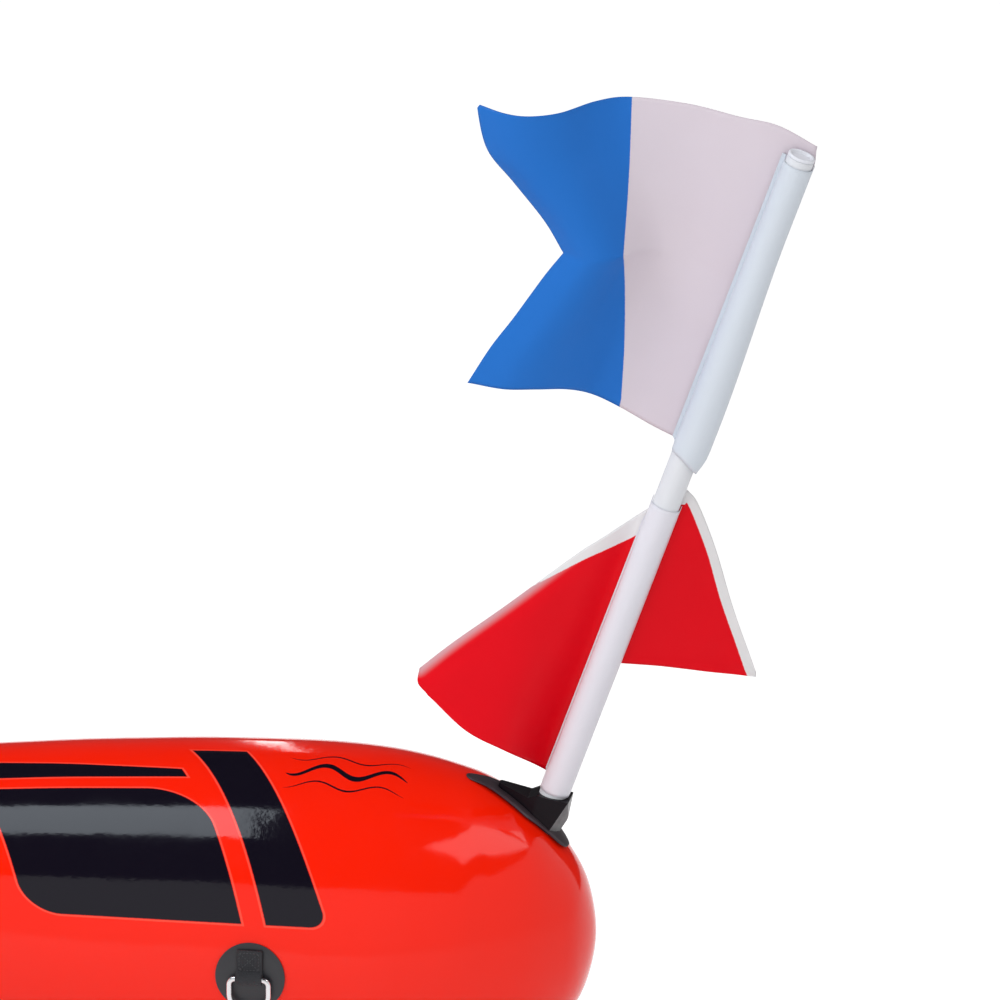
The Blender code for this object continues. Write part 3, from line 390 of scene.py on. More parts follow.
@dataclass(frozen=True)
class Finish:
    """One finish of the float: its colour, gloss and fine relief."""

    name: str
    colour: Colour
    roughness: float
    gloss_spread: float = 0.08
    gloss_scale: float = 30.0
    metallic: float = 0.0
    specular: float = 0.5
    coat: float = 0.0
    drift: float = 0.12
    drift_scale: float = 14.0
    grain: Grain = Grain.SMOOTH
    grain_scale: float = 900.0
    grain_lumps: float = 1.5
    smooth_factor: float = 4.0
    grain_depth: float = 0.00003
    # Faces turned one way get a paler colour: the dry salt dusting on upturned faces, and painted light on a
    # side made paler as if lit.
    dust_and_painted_light: float = 0.0
    dust_and_painted_light_facing: Point = (0.0, 0.0, 1.0)
    dust_and_painted_light_colour: Colour = (0.150, 0.148, 0.155, 1.0)

    def material(self, effects: Effects) -> bpy.types.Material:
        """Builds the material.

        Args:
            effects: The shared node groups.

        Returns:
            The material.
        """
        made, sketch, shader = new_material(self.name)
        made.diffuse_color = self.colour
        shader.inputs["Metallic"].default_value = self.metallic
        shader.inputs["Coat Weight"].default_value = self.coat
        shader.inputs["Coat Roughness"].default_value = 0.08
        shader.inputs["Specular IOR Level"].default_value = self.specular
        spots = sketch.add("ShaderNodeTexCoord")
        places = spots.outputs["Object"]
        colour = self.paint(sketch, effects, places)
        if self.dust_and_painted_light > 0.0:
            dust_and_light_mask = sketch.group(effects.dust_and_painted_light, Vector=places, Normal=spots.outputs["Normal"],
                                 Facing=self.dust_and_painted_light_facing, Amount=self.dust_and_painted_light)
            colour = sketch.mix(dust_and_light_mask.outputs["Value"], colour, self.dust_and_painted_light_colour)
        tinted = sketch.group(effects.drift, Vector=places, Color=colour,
                              Scale=self.drift_scale, Amount=self.drift)
        sketch.feed(shader.inputs["Base Color"], tinted.outputs["Color"])
        gloss = sketch.group(effects.gloss, Vector=places, Scale=self.gloss_scale,
                             Roughness=self.roughness, Spread=self.gloss_spread)
        sketch.feed(shader.inputs["Roughness"], gloss.outputs["Roughness"])
        bump = sketch.add("ShaderNodeBump")
        bump.inputs["Distance"].default_value = self.grain_depth
        sketch.feed(bump.inputs["Height"], self.relief(sketch, effects, places))
        sketch.feed(shader.inputs["Normal"], bump.outputs["Normal"])
        return made

    def paint(self, sketch: NodeSketch, effects: Effects, places: Fed) -> Fed:
        """Gives the base colour, which a finish with a print overrides.

        Args:
            sketch: The material's node sketch.
            effects: The shared node groups.
            places: Object coordinates.

        Returns:
            A colour or a colour socket.
        """
        return self.colour

    def relief(self, sketch: NodeSketch, effects: Effects, places: Fed) -> Fed:
        """Gives the height of the fine relief.

        Args:
            sketch: The material's node sketch.
            effects: The shared node groups.
            places: Object coordinates.

        Returns:
            The height's socket.
        """
        if self.grain is Grain.WOVEN:
            flat = sketch.add("ShaderNodeUVMap", uv_map="flat").outputs["UV"]
            woven = sketch.group(effects.weave, Vector=flat, Threads=self.grain_scale)
            return woven.outputs["Height"]
        lumps = self.grain_lumps
        if self.grain is Grain.SMOOTH:
            lumps *= self.smooth_factor
        skin = sketch.group(effects.skin, Vector=places, Scale=self.grain_scale, Lumps=lumps)
        return skin.outputs["Height"]


@dataclass(frozen=True)
class HullFinish(Finish):
    """Glossy hull sheet with its printed bands and a small wave motif."""

    print_colour: Colour = (0.005, 0.0035, 0.009, 1.0)
    # Painted highlight: a paler line beside the bands, standing in for light caught on the print's edge.
    painted_highlight_colour: Colour = (0.95, 0.14, 0.09, 1.0)
    band_rear: tuple[float, float, float] = (93.5, 1.335, -0.0035)
    band_front: tuple[float, float, float] = (56.0, 1.43, -0.0057)
    band_top: float = 4.2
    stripe: float = 17.0
    panel_top: float = 26.0
    wedge_bottom: float = 20.3
    wedge_top: float = 13.7
    wedge_slope: float = 0.045
    wedge_inset: float = 2.0
    panel_length: float = 150.0
    print_bottom: float = 73.0
    band_corner: float = 11.0
    panel_top_corner: float = 30.8
    panel_low_corner: float = 22.0
    edge_slope: float = 0.86
    edge_softness: float = 0.45
    painted_highlight_strength: float = 0.45
    far_top: float = 16.0
    arc_per_degree: float = 2.1
    motif_x: float = 172.0
    motif_angle: float = 14.5
    motif_half: float = 42.0
    motif_turn: float = 0.145
    motif_slope: float = 0.8
    motif_lines: tuple[tuple[float, float, float, float], ...] = (
        (-16.0, 0.85, 4.0, 0.0), (0.0, 2.4, 6.5, 0.6), (16.0, 0.85, 4.0, 1.2),
    )

    def polynomial(self, sketch: NodeSketch, angle: Fed, terms: Sequence[float]) -> Fed:
        """Gives a + b * angle + c * angle squared.

        Args:
            sketch: The material's node sketch.
            angle: The angle in degrees from the hull's crest.
            terms: a, b and c.

        Returns:
            The value's socket.
        """
        inner = sketch.calc("MULTIPLY_ADD", angle, terms[2], terms[1])
        return sketch.calc("MULTIPLY_ADD", inner, angle, terms[0])

    def least(self, sketch: NodeSketch, values: Sequence[Fed]) -> Fed:
        """Gives the least of several values.

        Args:
            sketch: The material's node sketch.
            values: The values.

        Returns:
            The least value's socket.
        """
        least = values[0]
        for value in values[1:]:
            least = sketch.calc("MINIMUM", least, value)
        return least

    def rounded(self, sketch: NodeSketch, first: Fed, second: Fed, radius: float) -> Fed:
        """Gives the distance inside two edges with a rounded corner.

        Args:
            sketch: The material's node sketch.
            first: The distance inside the first edge.
            second: The distance inside the second edge.
            radius: The corner's radius.

        Returns:
            The distance's socket.
        """
        squares = []
        for distance in (first, second):
            short = sketch.calc("MAXIMUM", sketch.calc("SUBTRACT", radius, distance), 0.0)
            squares.append(sketch.calc("POWER", short, 2.0))
        reach = sketch.calc("SQRT", sketch.calc("ADD", *squares))
        return sketch.calc("SUBTRACT", radius, reach)

    def gap_along(self, sketch: NodeSketch, more: Fed, less: Fed) -> Fed:
        """Gives the gap between two stations, square to the slanting edges."""
        return sketch.calc("MULTIPLY", sketch.calc("SUBTRACT", more, less), self.edge_slope)

    def gap_round(self, sketch: NodeSketch, more: Fed, less: Fed) -> Fed:
        """Gives the gap between two angles, as millimetres round the hull."""
        return sketch.calc("MULTIPLY", sketch.calc("SUBTRACT", more, less), self.arc_per_degree)

    def waves(self, sketch: NodeSketch, station: Fed, angle: Fed) -> Fed:
        """Gives the distance inside the motif: a thick wave between two thin ones.

        Args:
            sketch: The material's node sketch.
            station: The place along the hull, in millimetres.
            angle: The angle in degrees from the crest.

        Returns:
            The distance's socket.
        """
        along = sketch.calc("SUBTRACT", station, self.motif_x)
        round_it = self.gap_round(sketch, angle, self.motif_angle)
        share = sketch.calc("DIVIDE", along, self.motif_half)
        left = sketch.calc("MAXIMUM", sketch.calc("SUBTRACT", 1.0, sketch.calc("POWER", share, 2.0)), 0.0)
        taper = sketch.calc("SQRT", left)
        best: Fed = -9.0
        for offset, half_width, rise, turn in self.motif_lines:
            phase = sketch.calc("MULTIPLY_ADD", along, self.motif_turn, turn)
            line = sketch.calc("MULTIPLY_ADD", sketch.calc("SINE", phase), rise, offset)
            away = sketch.calc("ABSOLUTE", sketch.calc("SUBTRACT", round_it, line))
            width = sketch.calc("MULTIPLY_ADD", taper, half_width, -0.15)
            inside = sketch.calc("SUBTRACT", width, sketch.calc("MULTIPLY", away, self.motif_slope))
            best = sketch.calc("MAXIMUM", best, inside)
        return sketch.calc("MINIMUM", best, sketch.calc("MULTIPLY_ADD", taper, 9.0, -0.9))

    def printed(self, sketch: NodeSketch, effects: Effects,
                places: Fed) -> tuple[bpy.types.Node, bpy.types.NodeSocket]:
        """Lays out the bands, the panels and the motif.

        Args:
            sketch: The material's node sketch.
            effects: The shared node groups.
            places: Object coordinates.

        Returns:
            The edge group of the bands and panels, and the whole print's mask.
        """
        split = sketch.add("ShaderNodeSeparateXYZ")
        sketch.feed(split.inputs[0], places)
        station = sketch.calc("MULTIPLY", split.outputs[0], 1000.0)
        aside = sketch.calc("ABSOLUTE", split.outputs[1])
        height = sketch.calc("SUBTRACT", split.outputs[2], AXIS_HEIGHT)
        turned = sketch.calc("DEGREES", sketch.calc("ARCTAN2", aside, height))
        far_side = sketch.calc("GREATER_THAN", split.outputs[1], 0.0)
        squeeze = (self.print_bottom - self.band_top) / (self.print_bottom - self.far_top)
        stretch = sketch.calc("MULTIPLY_ADD", far_side, squeeze - 1.0, 1.0)
        shift = sketch.calc("MULTIPLY", far_side, self.print_bottom * (1.0 - squeeze))
        angle = sketch.calc("MULTIPLY_ADD", turned, stretch, shift)
        front = self.polynomial(sketch, angle, self.band_front)
        rear = self.polynomial(sketch, angle, self.band_rear)
        low = self.gap_round(sketch, self.print_bottom, angle)
        top = self.gap_round(sketch, angle, self.band_top)
        behind = self.gap_along(sketch, rear, station)
        ahead = self.gap_along(sketch, station, front)
        band = self.least(sketch, (ahead, top, self.rounded(sketch, behind, low, self.band_corner)))
        panel_rear = sketch.calc("SUBTRACT", front, self.stripe)
        panel_front = sketch.calc("SUBTRACT", panel_rear, self.panel_length)
        inside_rear = self.gap_along(sketch, panel_rear, station)
        inside_front = self.gap_along(sketch, station, panel_front)
        under_top = self.gap_round(sketch, angle, self.panel_top)
        side_panel = self.least(sketch, (
            self.rounded(sketch, inside_rear, under_top, self.panel_top_corner),
            self.rounded(sketch, inside_front, low, self.panel_low_corner),
        ))
        wedge_top = sketch.calc("MULTIPLY_ADD", station, self.wedge_slope, self.wedge_top)
        wedge = self.least(sketch, (
            sketch.calc("SUBTRACT", inside_rear, self.wedge_inset), inside_front,
            self.gap_round(sketch, angle, wedge_top), self.gap_round(sketch, self.wedge_bottom, angle),
        ))
        areas = sketch.calc("MAXIMUM", sketch.calc("MAXIMUM", band, side_panel), wedge)
        edge = sketch.group(effects.print_edge, Vector=places, Distance=areas, Softness=self.edge_softness)
        motif = sketch.group(effects.print_edge, Vector=places, Softness=self.edge_softness,
                             Distance=self.waves(sketch, station, angle))
        return edge, sketch.calc("MAXIMUM", edge.outputs["Mask"], motif.outputs["Mask"])

    def paint(self, sketch: NodeSketch, effects: Effects, places: Fed) -> Fed:
        """Paints the print over the hull's colour, with a painted highlight: a paler line beside the bands
        and panels.

        Args:
            sketch: The material's node sketch.
            effects: The shared node groups.
            places: Object coordinates.

        Returns:
            The colour's socket.
        """
        edge, mask = self.printed(sketch, effects, places)
        rim = sketch.calc("MULTIPLY", edge.outputs["Painted_Highlight"], self.painted_highlight_strength)
        return sketch.mix(mask, sketch.mix(rim, self.colour, self.painted_highlight_colour), self.print_colour)


@dataclass(frozen=True)
class FlagFinish(Finish):
    """Flag sheet with a second colour beyond a line, and a painted highlight: a pale band along an edge that
    curls away and catches the light.
    """

    other_colour: Colour = (0.7, 0.7, 0.7, 1.0)
    # Painted highlight: the pale pink of the flag edge that curls away and catches the light.
    painted_sheen_colour: Colour = (0.64, 0.36, 0.39, 1.0)
    softness: float = 0.0006

    def paint(self, sketch: NodeSketch, effects: Effects, places: Fed) -> Fed:
        """Paints the pale painted highlight along the curled edge, and the second colour where the sheet's
        own line says.

        Args:
            sketch: The material's node sketch.
            effects: The shared node groups.
            places: Object coordinates.

        Returns:
            The colour's socket.
        """
        line = sketch.add("ShaderNodeAttribute", attribute_name="past_line").outputs["Fac"]
        edge = sketch.group(effects.print_edge, Vector=places, Distance=line, Softness=self.softness)
        painted_sheen = sketch.add("ShaderNodeAttribute", attribute_name="painted_edge_sheen").outputs["Fac"]
        ground = sketch.mix(painted_sheen, self.colour, self.painted_sheen_colour)
        return sketch.mix(edge.outputs["Mask"], ground, self.other_colour)


class Finishes:
    """The material of every finish of the float."""

    def __init__(self) -> None:
        """Builds the shared effects and each finish's material."""
        effects = Effects()
        sheet_weave = {"grain": Grain.WOVEN, "grain_scale": 1700.0, "grain_depth": 0.00002}
        self.hull = HullFinish(
            "hull_sheet", (0.95, 0.013, 0.001, 1.0), 0.075, gloss_spread=0.05, specular=0.25, drift=0.06,
            drift_scale=7.0, grain_scale=260.0, grain_lumps=2.0, grain_depth=0.00005,
        ).material(effects)
        self.black_sheet = Finish(
            "black_sheet", (0.012, 0.012, 0.016, 1.0), 0.34, drift=0.3, dust_and_painted_light=0.12,
            grain=Grain.MOULDED, grain_scale=1400.0,
        ).material(effects)
        self.saddle = Finish(
            "saddle_sheet", (0.034, 0.020, 0.027, 1.0), 0.34, specular=0.3, drift=0.35, drift_scale=40.0,
            grain=Grain.MOULDED, grain_scale=1100.0, dust_and_painted_light=0.10,
        ).material(effects)
        # Painted light: the facing mask turned to +X paints the wedge's rear face a paler grey, as if that
        # face caught light from the right.
        self.socket = Finish(
            "wedge_rubber", (0.0050, 0.0028, 0.0050, 1.0), 0.30, specular=0.12, drift=0.3,
            grain=Grain.MOULDED, grain_scale=1500.0, dust_and_painted_light=0.9, dust_and_painted_light_facing=(1.0, 0.0, 0.0),
        ).material(effects)
        self.mast = Finish(
            "tube_plastic", (0.74, 0.76, 0.80, 1.0), 0.30, specular=0.35, gloss_spread=0.14,
            drift=0.05, drift_scale=30.0, grain_scale=700.0, grain_depth=0.00002,
        ).material(effects)
        self.cap = Finish(
            "cap_plastic", (0.78, 0.80, 0.86, 1.0), 0.24, drift=0.05, grain=Grain.MOULDED, grain_scale=1200.0,
        ).material(effects)
        self.alfa = FlagFinish(
            "upper_flag_sheet", (0.690, 0.615, 0.675, 1.0), 0.42, drift=0.06, drift_scale=16.0,
            specular=0.18, other_colour=(0.014, 0.155, 0.560, 1.0), **sheet_weave,
        ).material(effects)
        self.diver = FlagFinish(
            "lower_flag_sheet", (0.78, 0.0004, 0.0085, 1.0), 0.32, drift=0.10, drift_scale=16.0,
            specular=0.12, other_colour=(0.80, 0.79, 0.80, 1.0), **sheet_weave,
        ).material(effects)
        self.upper_sleeve = Finish(
            "upper_sleeve_sheet", (0.660, 0.715, 0.785, 1.0), 0.38, specular=0.3, drift=0.06, **sheet_weave,
        ).material(effects)
        self.lower_sleeve = Finish(
            "lower_sleeve_sheet", (0.755, 0.750, 0.815, 1.0), 0.32, specular=0.3, drift=0.05, **sheet_weave,
        ).material(effects)
        self.webbing = Finish(
            "strap_webbing", (0.016, 0.016, 0.020, 1.0), 0.62, drift=0.3,
            grain=Grain.WOVEN, grain_scale=900.0, grain_depth=0.00035,
        ).material(effects)
        self.thread = Finish("stitch_thread", (0.055, 0.055, 0.060, 1.0), 0.55).material(effects)
        self.steel = Finish(
            "polished_steel", (0.62, 0.62, 0.63, 1.0), 0.16, metallic=1.0, drift=0.08,
            grain_scale=1500.0, grain_depth=0.00001,
        ).material(effects)
        self.valve = Finish(
            "valve_plastic", (0.014, 0.014, 0.016, 1.0), 0.32, drift=0.3,
            grain=Grain.MOULDED, grain_scale=1600.0,
        ).material(effects)
        self.lead = Finish(
            "ballast_lead", (0.17, 0.17, 0.19, 1.0), 0.5, metallic=1.0, drift=0.3,
        ).material(effects)


# Mesh helpers

def placed(name: str, data: bpy.types.ID) -> bpy.types.Object:
    """Makes an object that holds the data, and links it to the scene."""
    obj = bpy.data.objects.new(name, data)
    bpy.context.scene.collection.objects.link(obj)
    return obj


def mesh_from(name: str, build: Callable[[bmesh.types.BMesh], None]) -> bpy.types.Mesh:
    """Makes a mesh by calling build on an empty bmesh.

    Args:
        name: The mesh's name.
        build: Fills the bmesh.

    Returns:
        The mesh.
    """
    shape = bmesh.new()
    build(shape)
    mesh = bpy.data.meshes.new(name)
    shape.to_mesh(mesh)
    shape.free()
    return mesh


def eased(value: float, low: float, high: float) -> float:
    """Returns a smooth step from 0 at low to 1 at high."""
    part = min(max((value - low) / (high - low), 0.0), 1.0)
    return part * part * (3.0 - 2.0 * part)


def smooth_line(points: Sequence[Sequence[float]], steps: int) -> list[Vector]:
    """Runs a smooth line through points.

    Args:
        points: The points.
        steps: Steps in each span.

    Returns:
        The line's points.
    """
    line = []
    for index in range(len(points) - 1):
        here = Vector(points[index])
        there = Vector(points[index + 1])
        before = Vector(points[index - 1]) if index > 0 else here * 2.0 - there
        after = Vector(points[index + 2]) if index + 2 < len(points) else there * 2.0 - here
        for step in range(steps):
            part = step / steps
            line.append(0.5 * (2.0 * here + (there - before) * part
                               + (2.0 * before - 5.0 * here + 4.0 * there - after) * part ** 2
                               + (3.0 * here - before - 3.0 * there + after) * part ** 3))
    line.append(Vector(points[-1]))
    return line


def even_line(points: Sequence[Sequence[float]], count: int) -> list[Vector]:
    """Runs a smooth line through points, evenly spaced.

    Args:
        points: The points.
        count: The number of steps.

    Returns:
        count + 1 points.
    """
    fine = smooth_line(points, 24)
    reach = [0.0]
    for first, second in zip(fine, fine[1:]):
        reach.append(reach[-1] + (second - first).length)
    line = []
    for step in range(count + 1):
        target = reach[-1] * step / count
        index = min(max(bisect_right(reach, target) - 1, 0), len(fine) - 2)
        span = reach[index + 1] - reach[index]
        line.append(fine[index].lerp(fine[index + 1], (target - reach[index]) / span))
    return line


def spun(name: str, profile: Sequence[tuple[float, float]], steps: int) -> bpy.types.Mesh:
    """Spins a closed profile of (radius, height) about Z.

    Args:
        name: The mesh's name.
        profile: Points of the profile, first and last on the axis or joined.
        steps: Steps of the full turn.

    Returns:
        The closed mesh with outward faces.
    """
    def build(shape: bmesh.types.BMesh) -> None:
        """Spins the profile's edges."""
        points = [shape.verts.new((radius, 0.0, height)) for radius, height in profile]
        edges = [shape.edges.new(pair) for pair in zip(points, points[1:])]
        if profile[0][0] > 1e-7:
            edges.append(shape.edges.new((points[-1], points[0])))
        bmesh.ops.spin(shape, geom=points + edges, cent=(0.0, 0.0, 0.0), axis=(0.0, 0.0, 1.0),
                       angle=2.0 * math.pi, steps=steps, use_merge=True)
        bmesh.ops.remove_doubles(shape, verts=shape.verts, dist=0.000002)
        bmesh.ops.recalc_face_normals(shape, faces=shape.faces)
    return mesh_from(name, build)


def rod(name: str, radius: float, high: float, low: float, steps: int, place: Matrix) -> bpy.types.Mesh:
    """Makes a round rod along a frame's Z.

    Args:
        name: The mesh's name.
        radius: The rod's radius.
        high: Its upper end.
        low: Its lower end.
        steps: Steps of the full turn.
        place: The frame.

    Returns:
        The rod's mesh.
    """
    mesh = spun(name, ((0.0, high), (radius, high), (radius, low), (0.0, low)), steps)
    mesh.transform(place)
    return mesh


def wire_mesh(name: str, points: Sequence[Point], radius: float) -> bpy.types.Mesh:
    """Makes a closed loop of round wire through points.

    Args:
        name: The mesh's name.
        points: The wire's line.
        radius: The wire's radius.

    Returns:
        The wire's mesh.
    """
    curve = bpy.data.curves.new(name + "_line", "CURVE")
    curve.dimensions = "3D"
    curve.bevel_depth = radius
    curve.bevel_resolution = 6
    spline = curve.splines.new("POLY")
    spline.points.add(len(points) - 1)
    for point, place in zip(spline.points, points):
        point.co = (*place, 1.0)
    spline.use_cyclic_u = True
    return applied(placed(name + "_line", curve), name)


def applied(obj: bpy.types.Object, name: str) -> bpy.types.Mesh:
    """Takes the mesh that an object has with its modifiers, and removes the object.

    Args:
        obj: The object.
        name: The mesh's name.

    Returns:
        The mesh.
    """
    graph = bpy.context.evaluated_depsgraph_get()
    mesh = bpy.data.meshes.new_from_object(obj.evaluated_get(graph), depsgraph=graph)
    mesh.name = name
    bpy.data.objects.remove(obj, do_unlink=True)
    return mesh


def cut(mesh: bpy.types.Mesh, tool: bpy.types.Mesh, operation: str = "DIFFERENCE") -> bpy.types.Mesh:
    """Cuts one mesh with another.

    Args:
        mesh: The mesh to cut.
        tool: The other mesh.
        operation: DIFFERENCE, INTERSECT or UNION.

    Returns:
        The cut mesh.
    """
    kept = placed(mesh.name, mesh)
    taken = placed(tool.name, tool)
    boolean = kept.modifiers.new("cut", "BOOLEAN")
    boolean.operation = operation
    boolean.solver = "EXACT"
    boolean.object = taken
    made = applied(kept, mesh.name)
    bpy.data.objects.remove(taken, do_unlink=True)
    return made


def slab(name: str, outline: Sequence[tuple[float, float]], low: float, high: float) -> bpy.types.Mesh:
    """Extrudes a flat outline.

    Args:
        name: The mesh's name.
        outline: The outline in X and Y.
        low: Where the slab starts on Z.
        high: Where it ends.

    Returns:
        The slab's mesh.
    """
    def build(shape: bmesh.types.BMesh) -> None:
        """Fills the outline and extrudes it."""
        face = shape.faces.new([shape.verts.new((x, y, low)) for x, y in outline])
        grown = bmesh.ops.extrude_face_region(shape, geom=[face])["geom"]
        moved = [item for item in grown if isinstance(item, bmesh.types.BMVert)]
        bmesh.ops.translate(shape, verts=moved, vec=(0.0, 0.0, high - low))
        bmesh.ops.remove_doubles(shape, verts=shape.verts, dist=0.00001)
        bmesh.ops.recalc_face_normals(shape, faces=shape.faces)
    return mesh_from(name, build)


def flat_map(mesh: bpy.types.Mesh, across: Point, along: Point) -> None:
    """Lays a flat map in metres on a mesh.

    Args:
        mesh: The mesh, in the frame it is made in.
        across: The map's first direction.
        along: The map's second direction.
    """
    layer = mesh.uv_layers.new(name="flat")
    right, up = Vector(across), Vector(along)
    for loop in mesh.loops:
        place = mesh.vertices[loop.vertex_index].co
        layer.data[loop.index].uv = (place.dot(right), place.dot(up))


def add_piece(name: str, mesh: bpy.types.Mesh, material: bpy.types.Material, body: str,
              nodes: Sequence[str] = (), smooth: float = 35.0) -> bpy.types.Object:
    """Makes one shown piece of the float.

    Args:
        name: The piece's name.
        mesh: Its mesh, in the float's own frame.
        material: Its material.
        body: The body that it rides on.
        nodes: The solids that it stands for.
        smooth: The angle in degrees over which an edge stays sharp.

    Returns:
        The piece.
    """
    obj = placed(name, mesh)
    mesh.materials.clear()
    mesh.materials.append(material)
    mesh.shade_smooth()
    mesh.set_sharp_from_angle(angle=math.radians(smooth))
    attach(obj, body)
    if nodes:
        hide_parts(*nodes)
    log.info("%s: %d faces on %s", name, len(mesh.polygons), body)
    return obj


def round_edges(obj: bpy.types.Object, width: float, segments: int = 3, angle: float = 40.0) -> None:
    """Rounds a piece's sharp edges.

    Args:
        obj: The piece.
        width: The rounding's width.
        segments: Its steps.
        angle: Edges sharper than this, in degrees, are rounded.
    """
    modifier = obj.modifiers.new("rounded_edges", "BEVEL")
    modifier.width = width
    modifier.segments = segments
    modifier.limit_method = "ANGLE"
    modifier.angle_limit = math.radians(angle)


def thicken(obj: bpy.types.Object, thickness: float, offset: float = 0.0) -> None:
    """Gives a sheet its thickness.

    Args:
        obj: The piece.
        thickness: The sheet's thickness.
        offset: -1 for inwards, 0 for both ways, 1 for outwards.
    """
    modifier = obj.modifiers.new("thickness", "SOLIDIFY")
    modifier.thickness = thickness
    modifier.offset = offset
    modifier.use_even_offset = True


def mast_place(height: float = 0.0) -> Matrix:
    """Returns the mast's frame: Z up the mast, X to the rear, Y away from the viewer."""
    turn = Matrix((-MAST_LEFT, AWAY, MAST_UP)).transposed().to_4x4()
    return Matrix.Translation(MOUTH + MAST_UP * height) @ turn


# The hull

@dataclass
class HullForm:
    """The inflated hull's outline, and places on its skin."""

    outline: tuple[tuple[float, float], ...] = (
        (-0.380, 0.0), (-0.370, 0.026), (-0.335, 0.053), (-0.260, 0.080), (-0.160, 0.0985),
        (-0.060, 0.1110), (0.050, 0.1195), (0.140, 0.1225), (0.200, 0.1190), (0.248, 0.1095),
        (0.274, 0.0985), (0.298, 0.0830), (0.316, 0.0630), (0.331, 0.0370), (0.338, 0.0),
    )
    steps: int = 10
    turns: int = 168
    taper_start: float = 0.190
    taper_end: float = 0.338
    tail_width_share: float = 0.82
    swell: float = 0.0005
    valve_x: float = -0.130
    line: list[Vector] = field(init=False)
    stations: list[float] = field(init=False)

    def __post_init__(self) -> None:
        """Runs the smooth line through the outline."""
        nose = (self.outline[1][0], -self.outline[1][1])
        tail = (self.outline[-2][0], -self.outline[-2][1])
        whole = smooth_line((nose, *self.outline, tail), self.steps)
        self.line = whole[self.steps:-self.steps]
        self.line[0].y = 0.0
        self.line[-1].y = 0.0
        self.stations = [point.x for point in self.line]

    def spin(self, shape: bmesh.types.BMesh, line: Sequence[Vector], offset: float, turns: int) -> None:
        """Spins a part of the outline about X and lays it over the skin.

        Args:
            shape: The empty bmesh to fill.
            line: The part of the outline.
            offset: The height over the skin.
            turns: Steps of the full turn.
        """
        points = [shape.verts.new((point.x, 0.0, point.y)) for point in line]
        edges = [shape.edges.new(pair) for pair in zip(points, points[1:])]
        bmesh.ops.spin(shape, geom=points + edges, cent=(0.0, 0.0, 0.0), axis=(1.0, 0.0, 0.0),
                       angle=2.0 * math.pi, steps=turns, use_merge=True)
        bmesh.ops.remove_doubles(shape, verts=shape.verts, dist=0.000002)
        for vertex in shape.verts:
            x, y, z = vertex.co
            if math.hypot(y, z) < 1e-6:
                vertex.co = (x + math.copysign(offset, x), 0.0, AXIS_HEIGHT)
            else:
                vertex.co = self.spot(x, math.atan2(-y, z), offset)
        bmesh.ops.recalc_face_normals(shape, faces=shape.faces)

    def solid(self, name: str, offset: float) -> bpy.types.Mesh:
        """Makes the whole hull's closed form at a height over its skin.

        Args:
            name: The mesh's name.
            offset: The height over the skin.

        Returns:
            The closed mesh.
        """
        return mesh_from(name, lambda shape: self.spin(shape, self.line, offset, self.turns))

    def radius_at(self, x: float) -> float:
        """Returns the hull's radius at x."""
        index = min(max(bisect_right(self.stations, x) - 1, 0), len(self.line) - 2)
        here, there = self.line[index], self.line[index + 1]
        part = min(max((x - here.x) / (there.x - here.x), 0.0), 1.0)
        return here.y + (there.y - here.y) * part

    def share_at(self, x: float) -> float:
        """Returns the hull's width over its height at x."""
        part = min(max((x - self.taper_start) / (self.taper_end - self.taper_start), 0.0), 1.0)
        return 1.0 + (self.tail_width_share - 1.0) * part * part * (3.0 - 2.0 * part)

    def skin(self, x: float, angle: float) -> Vector:
        """Gives a point of the skin.

        Args:
            x: The station along the hull.
            angle: The angle round it from the crest, towards -Y.

        Returns:
            The point.
        """
        radius = self.radius_at(x)
        lumps = noise.noise(Vector((x * 16.0, math.sin(angle) * 1.4, math.cos(angle) * 1.4)))
        radius += self.swell * lumps * min(radius / 0.03, 1.0)
        return Vector((x, -radius * self.share_at(x) * math.sin(angle),
                       AXIS_HEIGHT + radius * math.cos(angle)))

    def out(self, x: float, angle: float) -> Vector:
        """Returns the direction out of the skin."""
        near = 0.0004
        along = self.skin(x + near, angle) - self.skin(x - near, angle)
        round_it = self.skin(x, angle + near * 4.0) - self.skin(x, angle - near * 4.0)
        return round_it.cross(along).normalized()

    def spot(self, x: float, angle: float, lift: float = 0.0) -> Vector:
        """Returns a point at a height over the skin."""
        return self.skin(x, angle) + self.out(x, angle) * lift if lift else self.skin(x, angle)

    def frame_at(self, x: float, angle: float, lift: float = 0.0) -> Matrix:
        """Gives a frame on the hull: X along its meridian, Z out of it.

        Args:
            x: The station along the hull.
            angle: The angle round it from the crest, towards -Y.
            lift: The height over the skin.

        Returns:
            The frame as a matrix.
        """
        out = self.out(x, angle)
        along = (self.skin(x + 0.001, angle) - self.skin(x - 0.001, angle)).normalized()
        turn = Matrix((along, out.cross(along), out)).transposed().to_4x4()
        return Matrix.Translation(self.spot(x, angle, lift)) @ turn

    def angle_of(self, x: float, aside: float) -> float:
        """Returns the angle from the crest of a point that lies aside to -Y."""
        reach = self.radius_at(x) * self.share_at(x)
        return math.asin(min(max(aside / max(reach, 1e-6), -1.0), 1.0))


@dataclass
class Hull:
    """The inflated shell."""

    form: HullForm
    finishes: Finishes
    cup_hole_radius: float = 0.01225
    valve_hole_radius: float = 0.0118
    hole_turns: int = 72

    def shell(self) -> bpy.types.Mesh:
        """Spins the shell and cuts the holes for the valve and the mast's cup.

        Returns:
            The shell's mesh.
        """
        mesh = self.form.solid("hull_shell", 0.0)
        for name, radius, high, low, place in (
            ("cup_hole", self.cup_hole_radius, 0.0, -0.05, mast_place()),
            ("valve_hole", self.valve_hole_radius, 0.02, -0.02, self.form.frame_at(self.form.valve_x, 0.0)),
        ):
            mesh = cut(mesh, rod(name, radius, high, low, self.hole_turns, place))
        return mesh

    def build(self) -> None:
        """Makes the hull."""
        add_piece("hull_shell", self.shell(), self.finishes.hull, "hull", ("float_shell",))


